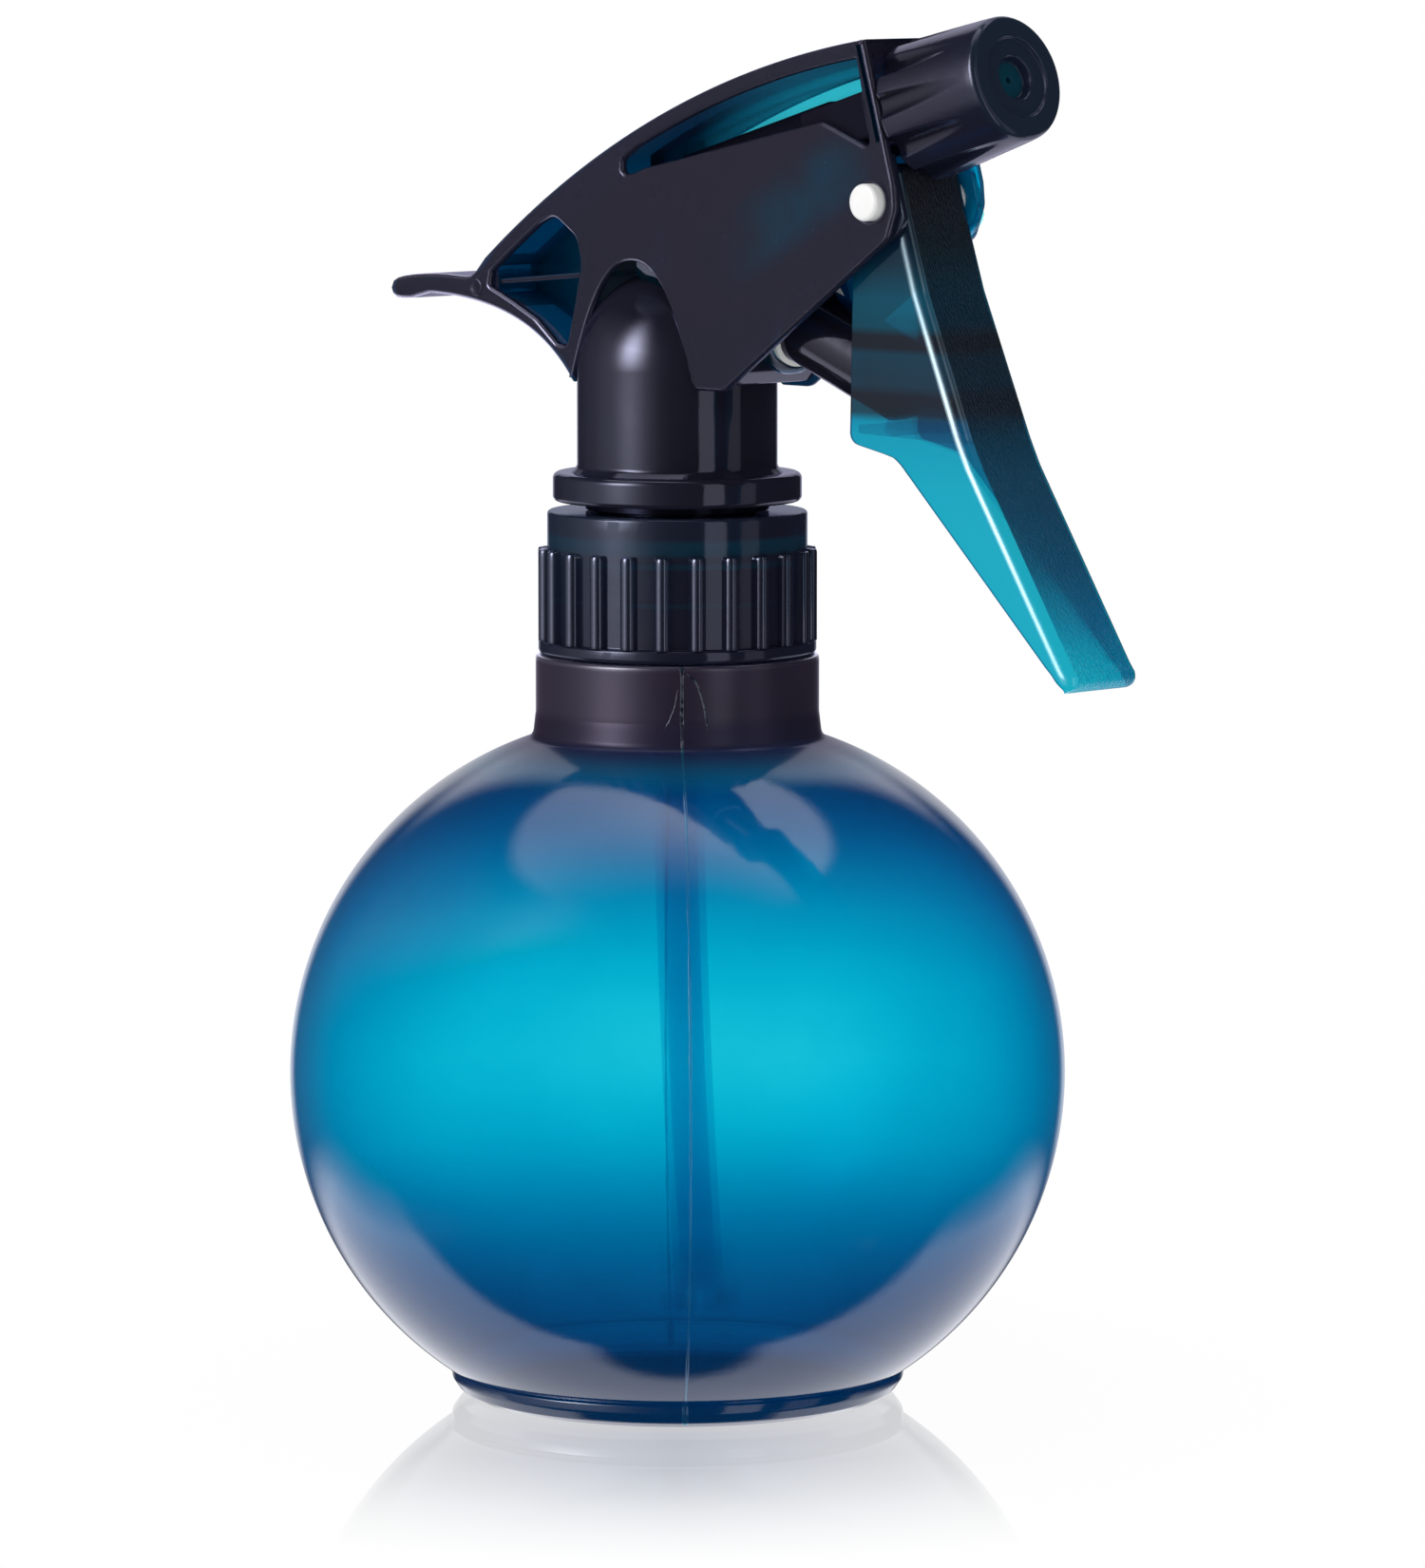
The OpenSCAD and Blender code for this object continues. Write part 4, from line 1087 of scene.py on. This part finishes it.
def trigger_grain():
    """The finger face: leathery grain drawn out along Z."""
    net = material_net("trigger_grain")

    def grain():
        return net.noise(2600, detail=2, rough=0.6, stretch=(1, 1, 0.35))

    def haze_colour():
        # painted light and shade by height: teal glow low down, dark bands where the piston and ribs
        # inside block the light, darker up under the head
        colour = net.z.paint([
            (92, (2, 130, 165)), (96, (2, 121, 156)), (99, (2, 106, 145)), (102, (0, 97, 129)),
            (105, (3, 86, 118)), (111, (4, 76, 105)), (116, (11, 71, 96)), (120, (11, 66, 87)),
            (122.8, (33, 41, 55)), (124.6, (34, 40, 54)), (126.4, (22, 51, 70)),
            (129, (24, 50, 68)), (130.2, (36, 38, 51)), (131.6, (34, 39, 52)),
            (133, (17, 52, 72)), (138, (17, 54, 73)), (141, (24, 46, 60)), (143, (29, 42, 53)),
            (146, (38, 37, 45)), (152, (36, 35, 43))])
        shade = 0.72 + grain() * 0.56
        return net.node("ShaderNodeVectorMath", {0: colour, "Scale": shade}, operation="SCALE")
    # dye depth by height, with steps that deepen the painted shade bands
    by_height = net.z.ramp([
        (90, 0.9), (94, 0.95), (96, 1.06), (99, 1.34), (102, 1.53), (105, 1.75), (108, 1.94),
        (116, 2.05), (118.4, 2.1), (119.4, 2.6), (121.2, 2.6), (122.4, 2.2), (126, 2.2),
        (129.2, 2.2), (130, 3.2), (131.2, 3.2), (132, 2.15), (138, 1.9), (141, 1.7),
        (143, 1.6), (145, 2.2), (152, 2.6)])
    coarse = net.noise(2400, detail=3, rough=0.7, stretch=(1, 1, 0.3))
    streaks = net.noise(3500, detail=2, stretch=(1, 1, 0.12))
    return clear_plastic(
        net, depth=by_height * (0.95 + net.y * 0.035) + (grain() - 0.5) * 0.7, rough=0.34,
        normal=net.bump(coarse + streaks * 0.7, strength=0.8, distance=0.0005),
        haze=net.z.ramp([(90, 0.25), (95, 0.3), (101, 0.55), (106, 0.85), (112, 0.92),
                         (152, 0.94)]),
        haze_colour=haze_colour, rates=TRIGGER_DYE, shine=(0.35, 0.45, 0.52))


def trigger_inside():
    return clear_plastic(material_net("trigger_inside"), depth=0.08, rough=0.2,
                         face_shine=0.02, rates=TRIGGER_DYE, shine=(0.1, 0.2, 0.25))


def trigger_ribs():
    net = material_net("trigger_ribs")
    return clear_plastic(net, depth=0.10 + net.noise(300, detail=2) * 0.06, rough=0.2,
                         haze=0.04, haze_colour=(0.02, 0.06, 0.08), face_shine=0.01,
                         rates=TRIGGER_DYE, edge_shine=0.1)


# ------------------------------------------------------------------ trigger
HUB_RADIUS = 4.4                # the rounded top of the lever, about the pivot
WALL_FRONT, WALL_SIDE = 1.9, 1.15
SLIVER = 0.001                  # depth of the hollow where the lever is solid
# rear edge from the top down: x, z
BACK = [(35.2, 147.3), (34.8, 136.6), (35.4, 134.2), (35.6, 131.5), (35.1, 127), (34.6, 122.6),
        (34.6, 119.8), (34.75, 119.3), (35.1, 118.9), (35.5, 118.65), (36.0, 118.5),
        (38.0, 118.1), (40.2, 117.65), (41.6, 117.3)]
BACK += bezier((66.8, 93.3), (53.5, 104.8), (42.6, 116.7), 24)[::-1] + [(67.5, 92.4), (68.3, 91.6)]
TRIGGER_LEVELS = [PIVOT[1] + HUB_RADIUS * sin(radians(a))
                  for a in (88, 80, 70, 60, 50, 40, 30, 20, 10, 0)]
TRIGGER_LEVELS += [146.3, 137, 136.6, 119.9, 119.8, 119.5, 119.3, 119.1, 118.9, 118.75, 118.65,
                   118.5, 118.3, 118.1, 117.9, 117.65, 117.45, 117.3, 117.0, 116.5, 94.2, 93.6,
                   93.2, 92.8, 92.4, 92.0, 91.7, 91.45, 91.3]


def hub_reach(z):
    """Half the hub's length in x at height z."""
    return sqrt(max(0, HUB_RADIUS ** 2 - (z - PIVOT[1]) ** 2))


def back_x(z):
    if z >= PIVOT[1]:
        return PIVOT[0] - hub_reach(z)
    for (x0, z0), (x1, z1) in zip(BACK, BACK[1:]):
        if z1 <= z <= z0:
            return x0 + (x1 - x0) * (z0 - z) / (z0 - z1)
    return BACK[-1][0]


def front_x(z):
    """The finger curve, limited by the hub above and the blunt tip below."""
    front = 195.7 - sqrt(159 ** 2 - (190.4 - min(max(z, 91.3), 152)) ** 2)
    if z > PIVOT[1]:
        front = min(front, PIVOT[0] + hub_reach(z))
    if z < 93.4:
        tip = 69.95 - (93.4 - z) * 0.05 - max(0, 92.2 - z) * 0.9 - 1.5 * max(0, 91.7 - z)
        front = min(front, tip)
    return front


def half_width_at(z):
    if z > 141:
        width = 5.9
    elif z > 129:
        width = 5.9 + 0.3 * (141 - z) / 12
    else:
        width = 6.2
    if z < 93.2:
        width -= 0.85 * ((93.2 - z) / 1.9) ** 2
    return width


def mirrored(points):
    return [(x, -y) for x, y in points[::-1]]


def quarter(x, y, radius, steps, first=0):
    """Quarter round from -Y to +X about (x, y)."""
    return arc((x, y), radius, [-90 + 90 * k / steps for k in range(first, steps + 1)])


def trigger_section(z):
    """A level slice: the outside round the front, then back round the inside."""
    back, front, width = back_x(z), front_x(z), half_width_at(z)
    back = min(back, front - 0.3)
    length = front - back
    corner = min(1.75, length * 0.6, width * 0.5)
    bevel = min(0.38, length * 0.15)
    side = [(back, -width + bevel * 1.35), (back + bevel * 0.29, -width + bevel * 0.29),
            (back + bevel, -width)]
    side += [(back + bevel + (front - corner - back - bevel) * t, -width) for t in (0.33, 0.66)]
    side += quarter(front - corner, -width + corner, corner, 8)
    middle = [(front, -width + corner + (2 * width - 2 * corner) * k / 6) for k in range(1, 6)]

    hollow = 94.2 <= z < 141.2
    end = max(back + SLIVER, front - WALL_FRONT) if hollow else back + SLIVER
    inner = width - WALL_SIDE
    radius = min(0.9, max(0.0005, (end - back) * 0.4))
    inside = [(back, -inner + 0.3 * min(1, end - back)), (back + (end - back) * 0.3, -inner),
              (end - radius, -inner)]
    inside += quarter(end - radius, -inner + radius, radius, 4, first=1)
    ring = side + middle + mirrored(side) + (inside + mirrored(inside))[::-1]
    return [(x, y, z) for x, y in ring]


def trigger_slot(j):
    """Slot of face j round a section: 0 side, 1 front, 3 corner, 2 inside."""
    if 12 <= j <= 19:
        return 1
    if 5 <= j <= 26:
        return 3
    return 0 if j < 32 else 2


sections = [trigger_section(z) for z in TRIGGER_LEVELS]
points, faces, slots = sweep(sections)
slots = [trigger_slot(j) for _ in sections[1:] for j in range(len(sections[0]))] + [0, 0]


def rib_front(z):
    return front_x(z) - 1.6


upper_rib = [(36.2, 133.45), (rib_front(131.5), 130.9), (rib_front(130.6), 129.95),
             (36.2, 132.45)]
lower_rib = [(35.2, 120.85), (rib_front(120.2), 120.3), (rib_front(119.3), 119.3),
             (35.2, 119.85)]
# plate square to the pump's axis: distance along it, height above it
PUMP_PLATE = [(16.2, -4.6), (17.6, -4.6), (17.6, 4.2), (16.2, 5.0)]
pump_plate = [at_pump(-height, 0, along)[::2] for along, height in PUMP_PLATE]
build("trigger_lever",
      [(points, faces, slots)] + [prism([rib], -5.15, 5.15, slot=4)
                                  for rib in (upper_rib, lower_rib, pump_plate)],
      [trigger_wall(), trigger_grain(), trigger_inside(), trigger_corner(), trigger_ribs()],
      "trigger", "trigger", sharp=45)


# ------------------------------------------------------------------ piston
def piston_gloss():
    net = material_net("piston_gloss")
    return clear_plastic(
        net, depth=1.6, rough=0.10, normal=net.skin(fine=900, slow=150, share=0.12), haze=0.97,
        haze_colour=lambda: navy(net, (0.012, 0.011, 0.020), (0.016, 0.015, 0.026)))


PISTON = [(3.7, -10), (5.3, -10, 0.2), (5.3, -9.3), (4.3, -9.3), (4.3, -7.6), (4.9, -7.6, 0.3),
          (4.9, 13.1, 0.5), (4.3, 14.2)]
PISTON_TIP_Z, PISTON_TIP_RADIUS = 10.55, 5.6
piston_profile = rounded(PISTON, 4, closed=False)[:-1]
piston_profile += arc((0, PISTON_TIP_Z), PISTON_TIP_RADIUS, range(40, 90, 5))
piston_profile += [(0, PISTON_TIP_Z + PISTON_TIP_RADIUS), (0, 11.5), (3.7, 11.5)]
build("piston_rod", [revolve(distinct(piston_profile), 96, at_pump)], [piston_gloss()],
      "piston", "piston", sharp=45)


# ------------------------------------------------------------------ dip tube
# Both parts in the liquid are smooth, unhazed and hardly shine.
SUNKEN = dict(rough=0.3, face_shine=0.01, edge_shine=0.0, shine=(0.0, 0.1, 0.15))


def dip_tube_plastic():
    net = material_net("dip_tube_plastic")
    by_height = net.z.ramp([(15, 0.06), (22, 0.15), (50, 0.22), (62, 0.17), (76, 0.08),
                            (90, 0.05)])
    return clear_plastic(net, depth=net.facing() ** 0.4 * by_height,
                         normal=net.skin(slow=120, share=0.3), rates=(4.0, 1.0, 0.5), **SUNKEN)


BEND_RADIUS, BEND_TOP = 1250.0, 94
BEND_TURN = radians(44)         # the way it leans, from +X towards +Y
BEND_LENGTH = BEND_RADIUS * radians(3.72)
DIP_RADII = (3.1, 2.2)
DIP_SEGMENTS = 40


def dip_ring(distance, radius):
    """A ring of the tube, distance mm down from where the bend starts."""
    bend = distance / BEND_RADIUS if distance > 0 else 0.0
    lean = BEND_RADIUS * (1 - cos(bend))
    drop = BEND_RADIUS * sin(bend) if distance > 0 else distance
    centre = Vector((lean * cos(BEND_TURN), lean * sin(BEND_TURN), BEND_TOP - drop))
    tangent = Vector((sin(bend) * cos(BEND_TURN), sin(bend) * sin(BEND_TURN), -cos(bend)))
    side = Vector((cos(BEND_TURN) * cos(bend), sin(BEND_TURN) * cos(bend), sin(bend)))
    other = tangent.cross(side)
    angles = [2 * pi * j / DIP_SEGMENTS for j in range(DIP_SEGMENTS)]
    return [tuple(centre + side * radius * cos(a) + other * radius * sin(a)) for a in angles]


points, faces, rings = [], [], []
for distance in [-11, -5] + [BEND_LENGTH * i / 24 for i in range(25)]:
    pair = []
    for radius in DIP_RADII:
        pair.append(range(len(points), len(points) + DIP_SEGMENTS))
        points += dip_ring(distance, radius)
    rings.append(pair)
for pair, below in zip(rings, rings[1:]):
    for k in (0, 1):
        faces += bridge(pair[k], below[k])
for pair in (rings[0], rings[-1]):
    faces += bridge(*pair)
build("dip_tube_hose", [(points, faces, [0] * len(faces))], [dip_tube_plastic()],
      "head", "dip_tube")


# ------------------------------------------------------------------ pieces kept from the CAD
def plain(name, dark, light, rough, scale=300, metal=0.0):
    net = material_net(name)
    return solid(net, (net.noise(scale), dark, light),
                 rough=rough + net.noise(scale * 3, detail=2) * (rough * 0.5),
                 normal=net.bump(net.noise(scale * 4, detail=2), strength=0.15,
                                 distance=0.0002),
                 Metallic=metal)


def natural_plastic():
    net = material_net("natural_plastic")
    return clear_plastic(net, depth=0.10, rough=0.3,
                         normal=net.skin(fine=900, slow=150, share=0.3), haze=0.45,
                         haze_colour=(0.62, 0.68, 0.70), rates=(1.2, 1.0, 0.95))


def strainer_plastic():
    net = material_net("strainer_plastic")
    return clear_plastic(net, depth=net.facing() * 0.045,
                         normal=net.skin(slow=120, share=0.3), rates=(2.5, 1.0, 0.6), **SUNKEN)


steel = plain("bright_steel", (0.62, 0.63, 0.65), (0.72, 0.73, 0.75), rough=0.18, scale=800,
              metal=1.0)
seal = plain("soft_seal", (0.72, 0.72, 0.70), (0.80, 0.80, 0.78), rough=0.45)
rubber = plain("black_rubber", (0.012, 0.012, 0.013), (0.03, 0.03, 0.032), rough=0.5)
natural = natural_plastic()
CAD_FINISHES = {
    "strainer": strainer_plastic(), "neck_gasket": seal, "tube_retainer": natural,
    "inlet_ball": steel, "piston_cup": natural, "vent_wiper": seal, "piston_spring": steel,
    "discharge_seat": natural, "discharge_ball": steel, "discharge_spring": steel,
    "swirl_insert": natural, "nozzle_seal": rubber}
for node_name, finish in CAD_FINISHES.items():
    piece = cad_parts[node_name]
    if piece.material_slots:
        for material_slot in piece.material_slots:
            material_slot.material = finish
    else:
        piece.data.materials.append(finish)


# ------------------------------------------------------------------ studio
def studio_world():
    """White to the camera, soft light to the plastic, and drawn lights in reflections.

    Angles are in degrees: turn is 0 towards the camera and grows to its right,
    and height is above the horizon. The last factor of a light is its brightness.
    """
    world = bpy.data.worlds.new("studio")
    scene.world = world
    net = Net(world)
    direction = net.node("ShaderNodeTexCoord", output="Generated")
    toward = net.dot(direction, TO_CAMERA)
    right = net.dot(direction, CAMERA_RIGHT)
    up = net.node("ShaderNodeSeparateXYZ", [direction], 2)
    degrees = 57.29578
    height = net.math("ARCSINE", up) * degrees
    turn = net.math("ARCTAN2", right, toward) * degrees
    aside = abs(turn)

    backdrop = product(aside.step(157, 167), height.step(-14, -9), height.step(26, 12), 1.15)
    table = product(aside.step(97, 106), height.step(-13, -20), height.step(-78, -71), 2.0)
    # two overhead boxes with a dark bar between them
    overhead = net.math("SQRT", right * right + (toward + 0.05) * (toward + 0.05))
    bar = right * 0.70 + toward * -0.72
    left_top = product(overhead.step(0.60, 0.54) * up.step(0.3, 0.4), bar.step(0.22, 0.15),
                       toward.step(0.40, -0.25), 2.0 + right.step(-0.45, 0.15) * 1.9)
    right_top = product(overhead.step(0.56, 0.51), up.step(0.3, 0.4), bar.step(0.28, 0.34), 2.5)
    # a broad box on the left with a bright spot on it
    left_glow = turn.ramp([
        (-160, 0.03), (-140, 0.08), (-112, 0.42), (-95, 0.85), (-80, 1.15), (-66, 1.45),
        (-53, 1.55), (-41, 1.2), (-30, 0.6), (-20, 0.22), (-8, 0.05), (10, 0.0)])
    left_box = left_glow * height.ramp([(-40, 0.0), (-25, 0.7), (-4, 1.0), (20, 1.0),
                                        (35, 0.4), (50, 0.0)])
    spot_off = (turn + 57.0) / 14.0
    spot = net.math("EXPONENT", spot_off * spot_off * -1.0) * height.ramp([
        (-9, 0.0), (-3, 1.5), (5, 7.5), (11, 12), (20, 17), (30, 12), (37, 7.5), (45, 3.0),
        (52, 1.0), (60, 0.0)])
    near_strip = product(turn.step(24.0, 26.0), turn.step(45.5, 43.5), height.step(-45, -40),
                         height.step(40, 30), 1.25)
    far_strip = product(turn.step(56, 60), turn.step(79, 76), height.step(-45, -40),
                        height.step(40, 30), 0.5)
    rim_box = product(aside.step(150, 160), height.step(14, 24), height.step(60, 46), 1.7)
    reflected = 0.03            # brightness between the lights
    for light in (backdrop, table, left_top, right_top, left_box, spot, near_strip, far_strip,
                  rim_box):
        reflected = light + reflected

    # soft light, stronger from above and from behind
    soft = 0.55 + (up.step(-0.2, 0.9) * 0.35 + toward.step(0.3, -0.8) * 0.5)
    is_glossy = net.node("ShaderNodeLightPath", output="Is Glossy Ray")
    seen = net.mix(is_glossy, soft, reflected)
    seen = net.mix(is_glossy.output("Is Camera Ray"), seen, (1.0, 1.0, 1.0))
    net.finish(net.node("ShaderNodeBackground", [seen, 1.0]), "World")
    world.cycles.sampling_method = "NONE"


def table_white():
    """White with a polish that fades away from the bottle."""
    net = material_net("table_white")
    distance = net.distance(net.x, net.y)
    aside = abs(net.x * CAMERA_RIGHT[0] + net.y * CAMERA_RIGHT[1])
    polish = (distance.ramp([(0, 0.5), (30, 0.5), (48, 0.47), (62, 0.35), (75, 0.2), (88, 0.08),
                             (100, 0.01), (108, 0.0)])
              * aside.ramp([(0, 1.0), (18, 0.82), (30, 0.72), (60, 0.5)]))
    white = net.node("ShaderNodeEmission", [(1, 1, 1), 1.0])
    mirror = net.node("ShaderNodeBsdfGlossy", {"Roughness": 0.012})
    return net.finish(net.mix_shaders(polish, white, mirror))


def table_top(half=3, z=-0.0003):
    """The table, in metres, just under the bottle; it is not seen in reflections."""
    mesh = bpy.data.meshes.new("table_top")
    corners = [(-half, -half, z), (half, -half, z), (half, half, z), (-half, half, z)]
    mesh.from_pydata(corners, [], [(0, 1, 2, 3)])
    table = bpy.data.objects.new("table_top", mesh)
    scene.collection.objects.link(table)
    mesh.materials.append(table_white())
    table.visible_glossy = False
    table.visible_shadow = False


def lamp(name, turn, height, distance, size, power):
    """A soft lamp aimed at the bottle; angles as in the world, lengths in metres."""
    light = bpy.data.lights.new(name, "AREA")
    light.shape = "RECTANGLE"
    light.size, light.size_y = size
    light.energy = power
    holder = bpy.data.objects.new(name, light)
    scene.collection.objects.link(holder)
    turn, height = radians(turn), radians(height)
    direction = (Vector(CAMERA_RIGHT) * sin(turn) * cos(height)
                 + Vector(TO_CAMERA) * cos(turn) * cos(height) + Vector((0, 0, sin(height))))
    holder.location = Vector((0, 0, 0.085)) + direction * distance
    holder.rotation_euler = (-direction).to_track_quat("-Z", "Y").to_euler()
    holder.visible_camera = False
    holder.visible_glossy = False


def camera(tilt=radians(6.5), aim_height=0.0749, aim_right=0.00428):
    """A long lens one metre from its aim, tilted down; lengths in metres."""
    lens = bpy.data.cameras.new("camera")
    holder = bpy.data.objects.new("camera", lens)
    scene.collection.objects.link(holder)
    back = Vector((TO_CAMERA[0] * cos(tilt), TO_CAMERA[1] * cos(tilt), sin(tilt)))
    holder.location = Vector((0, 0, aim_height)) + Vector(CAMERA_RIGHT) * aim_right + back
    holder.rotation_euler = back.to_track_quat("Z", "Y").to_euler()
    lens.sensor_width = 36
    lens.lens = 187.85455
    lens.clip_start = 0.01
    lens.clip_end = 20
    scene.camera = holder


studio_world()
table_top()
lamp("key_softbox", turn=-60, height=45, distance=0.8, size=(0.6, 0.6), power=2.2)
lamp("back_softbox", turn=180, height=12, distance=0.9, size=(1.0, 0.7), power=6.0)
camera()

scene.view_settings.view_transform = "Standard"
scene.view_settings.look = "None"
RENDER = dict(
    max_bounces=12, transparent_max_bounces=40, glossy_bounces=3, diffuse_bounces=2,
    transmission_bounces=6, caustics_reflective=False, caustics_refractive=False,
    sample_clamp_indirect=3.0)
for key, value in RENDER.items():
    setattr(scene.cycles, key, value)
